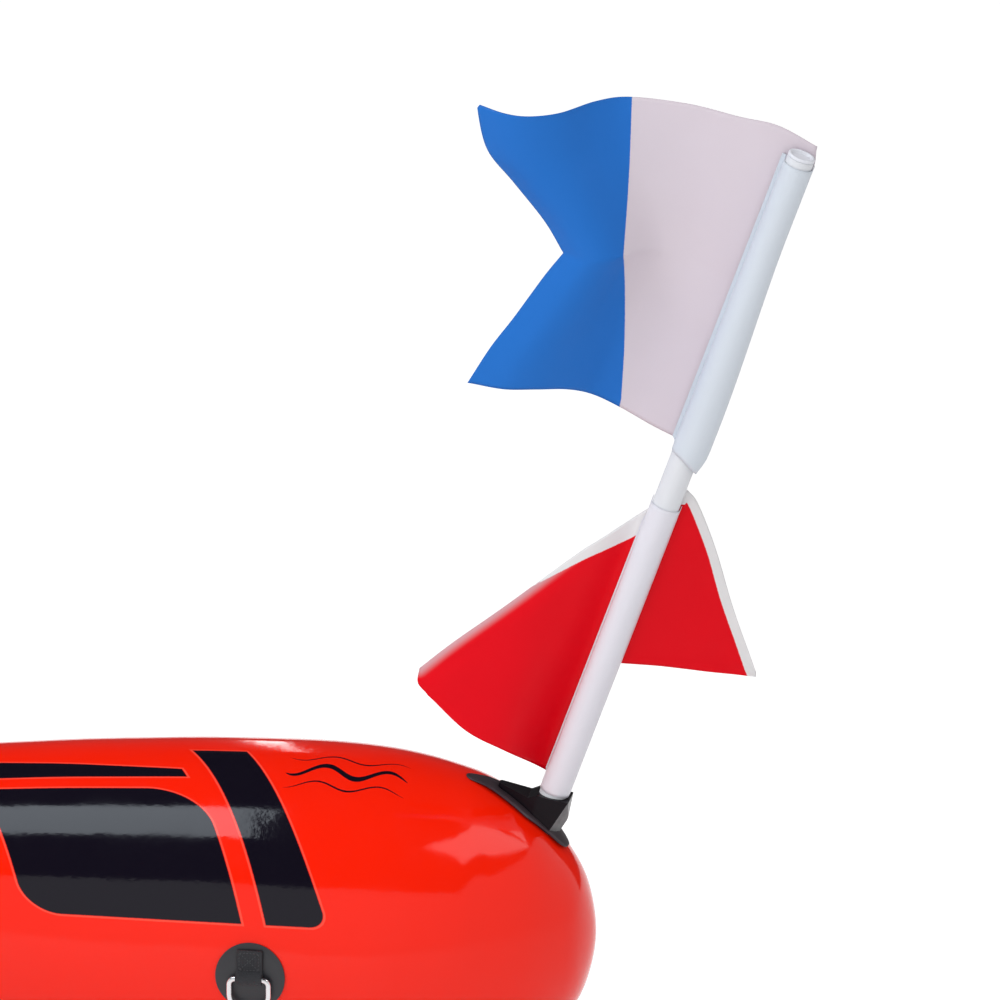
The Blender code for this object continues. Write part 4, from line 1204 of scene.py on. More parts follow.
@dataclass
class RoundPatch:
    """A round sheet welded on the hull."""

    form: HullForm
    name: str
    x: float
    angle: float
    radius: float
    material: bpy.types.Material
    node: str
    slot: str
    thickness: float = 0.0015
    press: float = 0.0004
    pressed_from: float = 0.86
    cells: int = 36

    def build(self) -> None:
        """Lays the patch on the hull, pressed down towards its edge."""
        place = self.form.frame_at(self.x, self.angle)
        reach = self.form.radius_at(self.x)

        def build(shape: bmesh.types.BMesh) -> None:
            """Turns a grid into a disc and wraps it on the hull."""
            bmesh.ops.create_grid(shape, x_segments=self.cells, y_segments=self.cells, size=1.0)
            for vertex in shape.verts:
                across, along = vertex.co.x, vertex.co.y
                u = across * math.sqrt(1.0 - along * along / 2.0) * self.radius
                v = along * math.sqrt(1.0 - across * across / 2.0) * self.radius
                edge = math.hypot(u, v) / self.radius
                press = self.press * max(edge - self.pressed_from, 0.0) / (1.0 - self.pressed_from)
                x = self.x + u * place[0][0]
                vertex.co = self.form.spot(x, self.angle - v / reach, SEAT_GAP + self.thickness - press)
        mesh = mesh_from(self.name, build)
        flat_map(mesh, (1.0, 0.0, 0.0), (0.0, math.cos(self.angle), math.sin(self.angle)))
        obj = add_piece(self.name, mesh, self.material, "hull", (self.node,))
        self.face_out(mesh)
        thicken(obj, self.thickness, -1.0)
        round_edges(obj, 0.0006)

    def face_out(self, mesh: bpy.types.Mesh) -> None:
        """Turns the sheet's faces out of the hull.

        Args:
            mesh: The sheet.
        """
        middle = mesh.polygons[len(mesh.polygons) // 2]
        if middle.normal.dot(self.form.out(self.x, self.angle)) < 0.0:
            mesh.flip_normals()


# Camera, floor and light

@dataclass
class Studio:
    """The camera at the photograph's viewing angle, the floor and the lights."""

    target: Point = (0.2628, 0.0594, 0.4230)
    azimuth: float = 9.0
    elevation: float = 19.0
    distance: float = 25.0
    field: float = 0.680
    ambient: float = 0.64
    floor_glow: float = 0.50

    def camera(self) -> None:
        """Sets the camera."""
        side, up = math.radians(self.azimuth), math.radians(self.elevation)
        back = Vector((math.sin(side) * math.cos(up), -math.cos(side) * math.cos(up), math.sin(up)))
        data = bpy.data.cameras.new("photo_camera")
        data.sensor_width = 36.0
        data.lens = data.sensor_width * self.distance / self.field
        data.clip_end = 2.0 * self.distance
        camera = placed("photo_camera", data)
        camera.location = Vector(self.target) + back * self.distance
        camera.rotation_mode = "QUATERNION"
        camera.rotation_quaternion = (-back).to_track_quat("-Z", "Y")
        bpy.context.scene.camera = camera

    def floor(self) -> None:
        """Lays the pale floor, which stays white to the camera but keeps shadows."""
        mesh = mesh_from("studio_floor", lambda shape: bmesh.ops.create_grid(
            shape, x_segments=4, y_segments=4, size=12.0))
        mesh.transform(Matrix.Translation((0.0, 0.0, -0.0004)))
        floor = placed("studio_floor", mesh)
        made, sketch, shader = new_material("pale_floor")
        shader.inputs["Roughness"].default_value = 0.9
        shader.inputs["Specular IOR Level"].default_value = 0.1
        shader.inputs["Emission Color"].default_value = (1.0, 1.0, 1.0, 1.0)
        places = sketch.add("ShaderNodeTexCoord").outputs["Object"]
        speck = sketch.noise(places, 60.0, 4.0, 0.6)
        tone = sketch.mix(speck, (0.78, 0.78, 0.78, 1.0), (0.82, 0.82, 0.82, 1.0))
        sketch.feed(shader.inputs["Base Color"], tone)
        glow = sketch.calc("MULTIPLY", sketch.seen(), self.floor_glow)
        sketch.feed(shader.inputs["Emission Strength"], glow)
        mesh.materials.append(made)

    def canopy(self) -> None:
        """Hangs a dark cloth above and behind, which only reflections see."""
        def build(shape: bmesh.types.BMesh) -> None:
            """Lays the cloth out overhead and drops its rear edge."""
            bmesh.ops.create_grid(shape, x_segments=2, y_segments=2, size=1.0)
            rear = [edge for edge in shape.edges if all(vertex.co.y > 0.99 for vertex in edge.verts)]
            grown = bmesh.ops.extrude_edge_only(shape, edges=rear)["geom"]
            low = [item for item in grown if isinstance(item, bmesh.types.BMVert)]
            bmesh.ops.translate(shape, verts=low, vec=(0.0, 0.0, -1.0))
        mesh = mesh_from("dark_canopy", build)
        mesh.transform(Matrix.Translation((0.0, 0.15, 2.03)) @ Matrix.Diagonal((2.8, 2.45, 2.0, 1.0)))
        cloth = placed("dark_canopy", mesh)
        made, sketch, shader = new_material("dark_cloth")
        places = sketch.add("ShaderNodeTexCoord").outputs["Object"]
        tone = sketch.mix(sketch.noise(places, 3.0), (0.02, 0.02, 0.024, 1.0), (0.05, 0.05, 0.056, 1.0))
        sketch.feed(shader.inputs["Base Color"], tone)
        mesh.materials.append(made)
        cloth.visible_camera = False
        cloth.visible_diffuse = False
        cloth.visible_shadow = False

    def lamp(self, name: str, place: Point, aim: Point, size: tuple[float, float], glow: float,
             colour: Sequence[float] = (1.0, 1.0, 1.0), mirrored: bool = True, lights: bool = True,
             spin: float = 0.0) -> None:
        """Adds one soft area light.

        Args:
            name: The light's name.
            place: Where it stands.
            aim: What it points at.
            size: Its width and height.
            glow: How bright its face looks, where 1 is white.
            colour: Its colour.
            mirrored: Whether reflections show it.
            lights: Whether it lights surfaces.
            spin: Its turn about its own axis, in degrees.
        """
        data = bpy.data.lights.new(name, "AREA")
        data.shape = "RECTANGLE"
        data.size, data.size_y = size
        data.energy = glow * math.pi * size[0] * size[1]
        data.color = colour[:3]
        obj = placed(name, data)
        obj.location = place
        obj.rotation_mode = "QUATERNION"
        facing = (Vector(aim) - Vector(place)).to_track_quat("-Z", "Y")
        obj.rotation_quaternion = facing @ Quaternion((0.0, 0.0, 1.0), math.radians(spin))
        obj.visible_glossy = mirrored
        obj.visible_diffuse = lights

    def world(self) -> None:
        """Makes the even light from all round, white to the camera."""
        world = bpy.data.worlds.new("studio_world")
        bpy.context.scene.world = world
        world.use_nodes = True
        world.node_tree.nodes.clear()
        sketch = NodeSketch(world.node_tree)
        back = sketch.add("ShaderNodeBackground")
        out = sketch.add("ShaderNodeOutputWorld")
        path = sketch.add("ShaderNodeLightPath")
        seen = sketch.calc("MAXIMUM", sketch.seen(), path.outputs["Is Transmission Ray"])
        strength = sketch.calc("MULTIPLY_ADD", seen, 1.0 - self.ambient, self.ambient)
        sketch.feed(back.inputs["Strength"], strength)
        back.inputs["Color"].default_value = (1.0, 1.0, 1.0, 1.0)
        sketch.feed(out.inputs["Surface"], back.outputs["Background"])

    def build(self) -> None:
        """Sets up the whole studio."""
        self.camera()
        self.floor()
        self.world()
        self.canopy()
        self.lamp("key_softbox", (-0.87, -0.82, 2.0), (-0.87, -0.819, 0.0), (1.45, 1.2), 3.4,
                  (0.95, 0.97, 1.0), mirrored=False)
        self.lamp("window_card", (-0.916, -0.257, 1.95), (-0.916, -0.256, 0.0), (1.45, 0.72), 5.8,
                  (0.83, 0.92, 1.0), lights=False, spin=-4.2)
        self.lamp("tail_card", (1.78, 0.22, 1.95), (1.78, 0.221, 0.0), (0.9, 2.1), 3.2,
                  lights=False, spin=-21.5)
        self.lamp("front_softbox", (0.4, -2.6, 1.1), (0.3, 0.0, 0.35), (2.4, 1.6), 1.4, (1.0, 0.98, 0.97),
                  mirrored=False)
        self.lamp("rear_strip", (-0.285, 2.4, 0.90), (-0.285, 0.0, 0.90), (0.04, 1.0), 3.6, lights=False)
        scene = bpy.context.scene
        scene.view_settings.view_transform = "Standard"
        log.info("studio: camera, floor, world, dark cloth and lamps")


# The saddle, the socket and the mast

@dataclass
class Saddle:
    """The dark patch on the tail slope under the socket."""

    form: HullForm
    finishes: Finishes
    front_x: float = 0.2490
    rear_x: float = 0.3170
    widest_x: float = 0.2910
    front_half: float = 0.0048
    widest_half: float = 0.0165
    rear_half: float = 0.0091
    thickness: float = 0.0030
    front_thinning: float = 0.0021
    thinned_length: float = 0.020
    rim_drop: float = 0.0009
    rim_share: float = 0.2
    wall: float = 0.0008
    columns: int = 60
    rows: int = 28

    def half_at(self, x: float) -> float:
        """Returns the patch's half width at x, with rounded ends."""
        if x < self.widest_x:
            part = (x - self.front_x) / (self.widest_x - self.front_x)
            half = self.front_half + (self.widest_half - self.front_half) * part
        else:
            part = (x - self.widest_x) / (self.rear_x - self.widest_x)
            half = self.widest_half + (self.rear_half - self.widest_half) * part ** 1.4
        for end, reach in ((self.front_x, 0.005), (self.rear_x, 0.007)):
            short = reach - abs(x - end)
            if short > 0.0:
                half -= reach - math.sqrt(max(reach * reach - short * short, 0.0))
        return max(half, 0.0008)

    def build(self) -> None:
        """Lays the patch on the tail slope."""
        def build(shape: bmesh.types.BMesh) -> None:
            """Fits a grid to the patch's outline and lays it on the hull."""
            bmesh.ops.create_grid(shape, x_segments=self.columns, y_segments=self.rows, size=1.0)
            for vertex in shape.verts:
                share = 0.5 - 0.5 * math.cos(math.pi * (vertex.co.x + 1.0) / 2.0)
                x = self.front_x + (self.rear_x - self.front_x) * share
                aside = vertex.co.y * self.half_at(x)
                rim = max(abs(vertex.co.y) - 1.0 + self.rim_share, 0.0) / self.rim_share
                thick = eased(x, self.front_x, self.front_x + self.thinned_length)
                thinned = self.front_thinning * (1.0 - thick)
                lift = SEAT_GAP + self.thickness - self.rim_drop * rim * rim - thinned
                vertex.co = self.form.spot(x, self.form.angle_of(x, -aside), lift)
            bmesh.ops.recalc_face_normals(shape, faces=shape.faces)
        mesh = mesh_from("saddle", build)
        if mesh.polygons[len(mesh.polygons) // 2].normal.z < 0.0:
            mesh.flip_normals()
        obj = add_piece("saddle", mesh, self.finishes.saddle, "hull", ("saddle_patch",))
        thicken(obj, self.wall, -1.0)
        round_edges(obj, 0.0003, 2)


@dataclass
class Socket:
    """The black moulded wedge that holds the mast's foot."""

    form: HullForm
    finishes: Finishes
    front: float = 0.0370
    front_half: float = 0.0042
    half: float = 0.0122
    swell: float = 0.0030
    swell_drop: float = 0.0136
    corner: float = 0.0030
    top_rise: float = 0.0026
    top_tilt: float = math.radians(8.3)
    ramp: tuple[float, float] = (-0.0150, -0.0032)
    saddle: float = 0.0036
    bore: float = 0.00975
    cup: float = 0.01195
    depth: float = 0.0300
    turns: int = 72

    def plan(self) -> list[tuple[float, float]]:
        """Returns the wedge's outline as seen down the mast, from its narrow front."""
        rear = self.half + self.swell
        line = []
        for x, y, radius, start, swing in (
            (-self.front + self.corner, self.front_half - self.corner, self.corner, 180.0, -73.0),
            (-MAST_RADIUS + self.half * 0.29, 0.0, self.half, 107.0, -17.0),
            (rear - self.corner, self.half - self.corner, self.corner, 90.0, -90.0),
        ):
            for step in range(13):
                turn = math.radians(start + swing * step / 12.0)
                line.append((x + radius * math.cos(turn), y + radius * math.sin(turn)))
        return line + [(x, -y) for x, y in reversed(line)]

    def turn_rear(self, wedge: bpy.types.Mesh) -> bpy.types.Mesh:
        """Slants the two rear corners, more towards the hull.

        Args:
            wedge: The wedge in the mast's frame.

        Returns:
            The same mesh.
        """
        shape = bmesh.new()
        shape.from_mesh(wedge)
        for side in (-1.0, 1.0):
            parts = [*shape.verts, *shape.edges, *shape.faces]
            made = bmesh.ops.bisect_plane(shape, geom=parts, clear_outer=True,
                                          plane_co=(self.half - 0.0002, side * self.half, 0.0049),
                                          plane_no=(0.860, side * 0.476, -0.186))["geom_cut"]
            edges = [item for item in made if isinstance(item, bmesh.types.BMEdge)]
            bmesh.ops.holes_fill(shape, edges=edges, sides=0)
        bmesh.ops.recalc_face_normals(shape, faces=shape.faces)
        shape.to_mesh(wedge)
        shape.free()
        return wedge

    def build(self) -> None:
        """Makes the wedge, seated on the saddle, with the mast's bore in it."""
        rear = self.half + self.swell
        tilt = math.tan(self.top_tilt)
        front = -self.front - 0.01
        rim = self.top_rise + self.half * tilt
        side = ((front, self.ramp[1]), (front, -0.05), (rear + self.swell, -0.05),
                (rear + self.swell, rim - 2.0 * self.swell_drop), (self.half, rim),
                (-MAST_RADIUS, self.top_rise - MAST_RADIUS * tilt), self.ramp)
        wedge = slab("mast_wedge", self.plan(), -0.06, 0.03)
        profile = slab("wedge_side", side, -0.03, 0.03)
        profile.transform(Matrix.Rotation(math.pi / 2.0, 4, "X"))
        wedge = self.turn_rear(cut(wedge, profile, "INTERSECT"))
        seat = self.form.solid("wedge_seat", self.saddle)
        seat.transform(mast_place().inverted())
        wedge = cut(wedge, seat)
        here = Matrix.Identity(4)
        wedge = cut(wedge, rod("wedge_cup", self.cup, -0.002, -self.depth, self.turns, here), "UNION")
        floor = -MAST_SEAT_DEPTH - SEAT_GAP
        wedge = cut(wedge, rod("wedge_bore", self.bore, 0.02, floor, self.turns, here))
        wedge.transform(mast_place())
        obj = add_piece("mast_wedge", wedge, self.finishes.socket, "hull", ("mast_socket",))
        round_edges(obj, 0.0007, 3, 30.0)


@dataclass
class Mast:
    """The white tube with the plugs in its ends."""

    finishes: Finishes
    wall: float = 0.0016
    low: float = -0.0252
    high: float = MAST_LENGTH - 0.0025
    rim: float = 0.0021
    dish: float = 0.0017
    plug: float = 0.012
    turns: int = 96

    def build(self) -> None:
        """Makes the tube and its top cap."""
        inner = MAST_RADIUS - self.wall
        edge = 0.0005
        wall = ((MAST_RADIUS, self.high - edge), (MAST_RADIUS, self.low + edge),
                (MAST_RADIUS - edge, self.low), (inner, self.low), (inner, self.high),
                (MAST_RADIUS - edge, self.high))
        tube = spun("mast", wall, self.turns)
        tube.transform(mast_place())
        add_piece("mast", tube, self.finishes.mast, "mast", ("mast_tube",))
        crown = self.high + SEAT_GAP
        reach = MAST_RADIUS - 0.0001
        fillet = 0.0007
        lip = reach - 0.0020
        face = [(0.0, crown + self.rim - self.dish), (lip - 2.0 * fillet, crown + self.rim - self.dish)]
        for centre, height, start, swing in (
            (lip - 2.0 * fillet, crown + self.rim - self.dish + fillet, -90.0, 60.0),
            (lip + fillet, crown + self.rim - fillet, 150.0, -60.0),
            (reach - fillet, crown + self.rim - fillet, 90.0, -90.0),
        ):
            for step in range(7):
                turn = math.radians(start + swing * step / 6.0)
                face.append((centre + fillet * math.cos(turn), height + fillet * math.sin(turn)))
        face += [(reach, crown), (inner - SEAT_GAP, crown), (inner - SEAT_GAP, crown - self.plug),
                 (0.0, crown - self.plug)]
        cap = spun("mast_cap", face, self.turns)
        cap.transform(mast_place())
        add_piece("mast_cap", cap, self.finishes.cap, "mast", ("mast_top_cap",))


# The flags

@dataclass
class Sleeve:
    """The strip that wraps the mast's front and is welded to its flag behind it."""

    name: str
    low: float
    high: float
    body: str
    node: str
    material: bpy.types.Material
    sheet_low: float
    sheet_high: float
    slack: Callable[[float], float]
    weld: float
    tail: float = 0.0
    thickness: float = 0.0004
    least_weld: float = 0.0004
    off_mast: float = 0.0007
    under_flag: float = 0.0008
    straight: float = 0.12
    weld_turn: float = 0.10
    columns: int = 64
    rows: int = 90

    def cross(self, share: float, height: float) -> tuple[float, float]:
        """Gives the strip's line round the mast.

        Args:
            share: The share of the strip's width, from the weld on.
            height: The height up the mast.

        Returns:
            The place towards the rear and away from the viewer.
        """
        radius = MAST_RADIUS + self.off_mast
        seat = BEHIND_MAST - self.under_flag
        loose = self.slack(height)
        inside = eased(height, self.sheet_low, self.sheet_low + 0.003)
        inside *= 1.0 - eased(height, self.sheet_high - 0.003, self.sheet_high)
        weld = self.least_weld + self.weld * inside
        wrapped = share - self.straight
        round_share = 1.0 - 2.0 * self.straight
        if wrapped < 0.0:
            return -radius + weld * wrapped / self.straight, seat
        if wrapped > round_share:
            return radius + loose, seat * (wrapped - round_share) / self.straight
        turn = math.pi * wrapped / round_share
        lean = 0.5 - 0.5 * math.cos(turn)
        start = seat * max(1.0 - wrapped / self.weld_turn, 0.0) ** 2
        return -radius * math.cos(turn) + loose * lean, start - (radius + 0.3 * loose) * math.sin(turn)

    def flat_width(self) -> float:
        """Returns the strip's width opened out, along its line at its middle height."""
        middle = (self.low + self.high) / 2.0
        line = [Vector(self.cross(step / self.columns, middle)) for step in range(self.columns + 1)]
        return sum((there - here).length for here, there in zip(line, line[1:]))

    def build(self) -> None:
        """Wraps the strip round the mast."""
        width = self.flat_width()

        def build(shape: bmesh.types.BMesh) -> None:
            """Maps a flat grid onto the strip's lines."""
            flat = shape.loops.layers.uv.new("flat")
            bmesh.ops.create_grid(shape, x_segments=self.columns, y_segments=self.rows, size=0.5)
            for vertex in shape.verts:
                share, part = vertex.co.x + 0.5, vertex.co.y + 0.5
                low = self.low - self.tail * eased(share, 0.3, 0.95)
                height = low + (self.high - low) * part
                for loop in vertex.link_loops:
                    loop[flat].uv = (share * width, height)
                vertex.co = (*self.cross(share, height), height)
            bmesh.ops.recalc_face_normals(shape, faces=shape.faces)
        mesh = mesh_from(self.name, build)
        mesh.transform(mast_place())
        obj = add_piece(self.name, mesh, self.material, self.body, (self.node,))
        thicken(obj, self.thickness)


class FlagSheet:
    """A thin sheet blended from its four edges."""

    def __init__(self, name: str) -> None:
        """Starts a sheet.

        Args:
            name: The sheet's name.
        """
        self.name = name
        self.shape = bmesh.new()
        self.flat = self.shape.loops.layers.uv.new("flat")
        self.past = self.shape.verts.layers.float.new("past_line")
        self.painted_sheen = self.shape.verts.layers.float.new("painted_edge_sheen")

    def hoist(self, low: float, high: float, rows: int,
              slack: Callable[[float], float] = lambda height: 0.0) -> list[Vector]:
        """Runs the edge behind the mast.

        Args:
            low: Its lower end.
            high: Its upper end.
            rows: Its number of steps.
            slack: How far it stands off to the rear at a height.

        Returns:
            rows + 1 points.
        """
        line = []
        for row in range(rows + 1):
            height = low + (high - low) * row / rows
            line.append(Vector((height, -HOIST_RIGHT - slack(height), BEHIND_MAST)))
        return line

    def blend(self, bottom: Sequence[Vector], top: Sequence[Vector], hoist: Sequence[Vector],
              fly: Sequence[Vector], ripple: Callable[[float, float], float],
              past: Callable[[Vector], float], width: float,
              painted_sheen: Callable[[Vector], float] = lambda point: 0.0) -> None:
        """Adds one blended grid to the sheet.

        Args:
            bottom: The lower edge, from the hoist out.
            top: The upper edge.
            hoist: The edge at the mast, from the bottom up.
            fly: The outer edge.
            ripple: The depth of the ripples at a share out and up.
            past: How far past the colours' line a point is, in metres.
            width: The sheet's flat width, for its weave.
            painted_sheen: How much pale painted highlight the colour gets at a point, 0 to 1.
        """
        columns, rows = len(bottom) - 1, len(hoist) - 1
        made = bmesh.ops.create_grid(self.shape, x_segments=columns, y_segments=rows, size=0.5)["verts"]
        for vertex in made:
            out, up = vertex.co.x + 0.5, vertex.co.y + 0.5
            column, row = round(out * columns), round(up * rows)
            edges = bottom[column] * (1.0 - up) + top[column] * up
            edges += hoist[row] * (1.0 - out) + fly[row] * out
            corners = (bottom[0] * (1.0 - out) + bottom[-1] * out) * (1.0 - up)
            corners += (top[0] * (1.0 - out) + top[-1] * out) * up
            point = edges - corners
            point.z += ripple(out, up)
            for loop in vertex.link_loops:
                loop[self.flat].uv = (out * width, point.x)
            vertex[self.past] = past(point)
            vertex[self.painted_sheen] = painted_sheen(point)
            vertex.co = MOUTH + MAST_UP * point.x + MAST_LEFT * point.y + AWAY * point.z

    def build(self, material: bpy.types.Material, body: str, node: str, slot: str,
              flat: tuple[float, float], thickness: float = 0.0005) -> None:
        """Args:
            material: The sheet's material.
            body: The body that it rides on.
            node: The solid that it stands for.
            slot: The record's material slot. Not used.
            flat: The width and length that it was cut to. Not used.
            thickness: The cloth's thickness.
        """
        bmesh.ops.remove_doubles(self.shape, verts=self.shape.verts, dist=0.00001)
        bmesh.ops.recalc_face_normals(self.shape, faces=self.shape.faces)
        mesh = bpy.data.meshes.new(self.name)
        self.shape.to_mesh(mesh)
        self.shape.free()
        obj = add_piece(self.name, mesh, material, body, (node,))
        thicken(obj, thickness)


@dataclass
class UpperFlag:
    """The swallowtail flag, white at the mast and blue at the fly."""

    finishes: Finishes
    top: tuple[Point, ...] = (
        (0.5050, -HOIST_RIGHT, BEHIND_MAST), (0.5075, 0.0204, 0.014), (0.5015, 0.0478, 0.018),
        (0.4950, 0.0828, 0.022), (0.4848, 0.1219, 0.020), (0.4767, 0.1422, 0.010),
        (0.4654, 0.1622, -0.008), (0.4578, 0.1808, -0.016), (0.4536, 0.1968, -0.016),
        (0.4507, 0.2151, -0.010),
    )
    bottom: tuple[Point, ...] = (
        (0.2700, -HOIST_RIGHT, BEHIND_MAST), (0.2713, 0.0106, 0.012), (0.2718, 0.0298, 0.016),
        (0.2740, 0.0540, 0.020), (0.2765, 0.0755, 0.016), (0.2777, 0.0922, 0.004),
        (0.2742, 0.1109, -0.008), (0.2679, 0.1316, -0.015), (0.2615, 0.1550, -0.012),
    )
    fly_lower: tuple[Point, ...] = (
        (0.2615, 0.1550, -0.012), (0.2913, 0.1491, -0.011), (0.3168, 0.1417, -0.009),
        (0.3512, 0.1328, -0.006), (0.3716, 0.1264, -0.005),
    )
    fly_upper: tuple[Point, ...] = (
        (0.3716, 0.1264, -0.005), (0.3880, 0.1461, -0.005), (0.4063, 0.1744, -0.007),
        (0.4222, 0.1993, -0.009), (0.4461, 0.2149, -0.010), (0.4507, 0.2151, -0.010),
    )
    border: tuple[tuple[float, float], ...] = (
        (0.2550, 0.0520), (0.2793, 0.0545), (0.3139, 0.0649), (0.3823, 0.0876),
        (0.4848, 0.1219), (0.5200, 0.1330),
    )
    border_slant: float = 0.94
    ripple_depth: float = 0.0016
    flat: tuple[float, float] = (0.237, 0.246)
    columns: int = 96
    rows: int = 80

    def slack(self, height: float) -> float:
        """Returns how loosely the sleeve wraps the mast at a height, more towards its lower end."""
        loose = 0.0042 * (1.0 - eased(height, 0.290, 0.440)) * eased(height, 0.250, 0.272)
        return 0.0002 + loose - 0.0026 * eased(height, 0.492, 0.505)

    def past_border(self, point: Vector) -> float:
        """Gives how far a point is past the border between white and blue.

        Args:
            point: Height, reach and depth.

        Returns:
            The distance, positive in the blue.
        """
        for (low, near), (high, far) in zip(self.border, self.border[1:]):
            if point.x <= high:
                break
        part = (point.x - low) / (high - low)
        return (point.y - near - (far - near) * part) * self.border_slant

    def ripple(self, out: float, up: float) -> float:
        """Gives the small ripples of the stiff sheet.

        Args:
            out: The share out from the mast.
            up: The share up the hoist.

        Returns:
            The depth in metres.
        """
        growing = min(out * 5.0, 1.0)
        return growing * self.ripple_depth * noise.noise(Vector((out * 4.0, up * 2.0 + out, 0.3)))

    def build(self) -> None:
        """Makes the flag and its sleeve."""
        half = self.rows // 2
        sheet = FlagSheet("upper_flag")
        fly = even_line(self.fly_lower, half)[:-1] + even_line(self.fly_upper, self.rows - half)
        sheet.blend(even_line(self.bottom, self.columns), even_line(self.top, self.columns),
                    sheet.hoist(self.bottom[0][0], self.top[0][0], self.rows, self.slack), fly,
                    self.ripple, self.past_border, self.flat[0])
        sheet.build(self.finishes.alfa, "alfa", "alfa_flag", "alfa_cloth", self.flat)
        Sleeve("upper_sleeve", 0.2680, 0.4920, "alfa", "alfa_pocket", self.finishes.upper_sleeve,
               0.2700, 0.5100, self.slack, weld=0.0026, tail=0.0115).build()


@dataclass
class LowerFlag:
    """The lower flag with a wing on each side of the mast."""

    finishes: Finishes
    low: float = 0.0120
    split: float = 0.1050
    high: float = 0.2400
    left_top: tuple[Point, ...] = (
        (0.2400, -HOIST_RIGHT, BEHIND_MAST), (0.2185, 0.0096, BEHIND_MAST), (0.2073, 0.0172, 0.0114),
        (0.1878, 0.0316, 0.004), (0.1694, 0.0452, -0.001), (0.1239, 0.0745, -0.012),
        (0.0863, 0.0994, -0.020), (0.0592, 0.1150, -0.022),
    )
    left_bottom: tuple[Point, ...] = (
        (0.0120, -HOIST_RIGHT, BEHIND_MAST), (0.0120, 0.0030, BEHIND_MAST), (0.0130, 0.0185, 0.0114),
        (0.0250, 0.0430, -0.016), (0.0321, 0.0718, -0.026), (0.0453, 0.1030, -0.026),
    )
    left_fly: tuple[Point, ...] = (
        (0.0453, 0.1030, -0.026), (0.0505, 0.1125, -0.024), (0.0592, 0.1150, -0.022),
    )
    right_top: tuple[Point, ...] = (
        (0.2400, -HOIST_RIGHT, BEHIND_MAST), (0.2325, -0.0201, 0.013), (0.2036, -0.0427, 0.020),
        (0.1688, -0.0659, 0.027), (0.1260, -0.0975, 0.036),
    )
    right_bottom: tuple[Point, ...] = (
        (0.1050, -HOIST_RIGHT, BEHIND_MAST), (0.1100, -0.0300, 0.0155), (0.1140, -0.0507, 0.022),
        (0.1215, -0.0929, 0.034), (0.1225, -0.0985, 0.036),
    )
    left_width: float = 0.131
    right_width: float = 0.092
    flat: tuple[float, float] = (0.224, 0.228)
    ripple_depth: float = 0.0012
    roll_depth: float = 0.0050
    right_border: float = 0.0064
    # Width of the painted highlight band along the left wing's upper edge.
    painted_sheen_width: float = 0.0070
    columns: int = 64
    right_columns: int = 48
    rows_below: int = 26
    rows_above: int = 42
    edge_steps: int = 160
    left_edge: list[Vector] = field(init=False)
    right_edge: list[Vector] = field(init=False)

    def __post_init__(self) -> None:
        """Runs the two upper edges, which the margins are measured from."""
        self.left_edge = even_line(self.left_top, self.edge_steps)
        self.right_edge = even_line(self.right_top, self.edge_steps)

    def ripple(self, out: float, up: float) -> float:
        """Gives the small ripples of the sheet.

        Args:
            out: The share out from the mast.
            up: The share up the hoist.

        Returns:
            The depth in metres.
        """
        growing = min(max(out - 0.12, 0.0) * 5.0, 1.0)
        return growing * self.ripple_depth * noise.noise(Vector((out * 4.0, up * 3.0, 1.7)))

    def left_ripple(self, out: float, up: float) -> float:
        """Gives the left wing's ripples, and the roll of its upper edge away from the viewer."""
        return self.ripple(out, up) + self.roll_depth * eased(out, 0.15, 0.45) * eased(up, 0.80, 1.25)

    def gap_to(self, edge: Sequence[Vector], point: Vector) -> float:
        """Returns how far a point lies from an edge, as seen along the depth."""
        return min(math.hypot(at.x - point.x, at.y - point.y) for at in edge)

    def left_margin(self, point: Vector) -> float:
        """Gives how far a point lies in the left wing's white margin, which narrows outwards."""
        return min(0.0150 - 0.23 * point.y, 0.0115) - self.gap_to(self.left_edge, point)

    def left_painted_sheen(self, point: Vector) -> float:
        """Gives how much pale painted highlight the left wing gets at a point, most along its upper edge's
        outer part, where the rolled edge would catch the light.
        """
        gap = self.gap_to(self.left_edge, point)
        return (1.0 - eased(gap, 0.0, self.painted_sheen_width)) * eased(point.y, 0.025, 0.060)

    def right_margin(self, point: Vector) -> float:
        """Gives how far a point lies in the right wing's white margin."""
        return self.right_border - self.gap_to(self.right_edge, point)

    def build(self) -> None:
        """Makes both wings and the sleeve."""
        sheet = FlagSheet("lower_flag")
        rows = self.rows_below + self.rows_above
        below = sheet.hoist(self.low, self.split, self.rows_below)
        above = sheet.hoist(self.split, self.high, self.rows_above)
        sheet.blend(even_line(self.left_bottom, self.columns), even_line(self.left_top, self.columns),
                    below[:-1] + above, even_line(self.left_fly, rows),
                    self.left_ripple, self.left_margin, self.left_width, self.left_painted_sheen)
        right_fly = even_line((self.right_bottom[-1], self.right_top[-1]), self.rows_above)
        sheet.blend(even_line(self.right_bottom, self.right_columns),
                    even_line(self.right_top, self.right_columns), above, right_fly,
                    self.ripple, self.right_margin, self.right_width)
        sheet.build(self.finishes.diver, "diver", "diver_flag", "diver_cloth", self.flat)
        Sleeve("lower_sleeve", 0.0049, 0.2280, "diver", "diver_pocket", self.finishes.lower_sleeve,
               0.0122, 0.2125, lambda height: 0.0001, weld=0.0010).build()


# The fittings

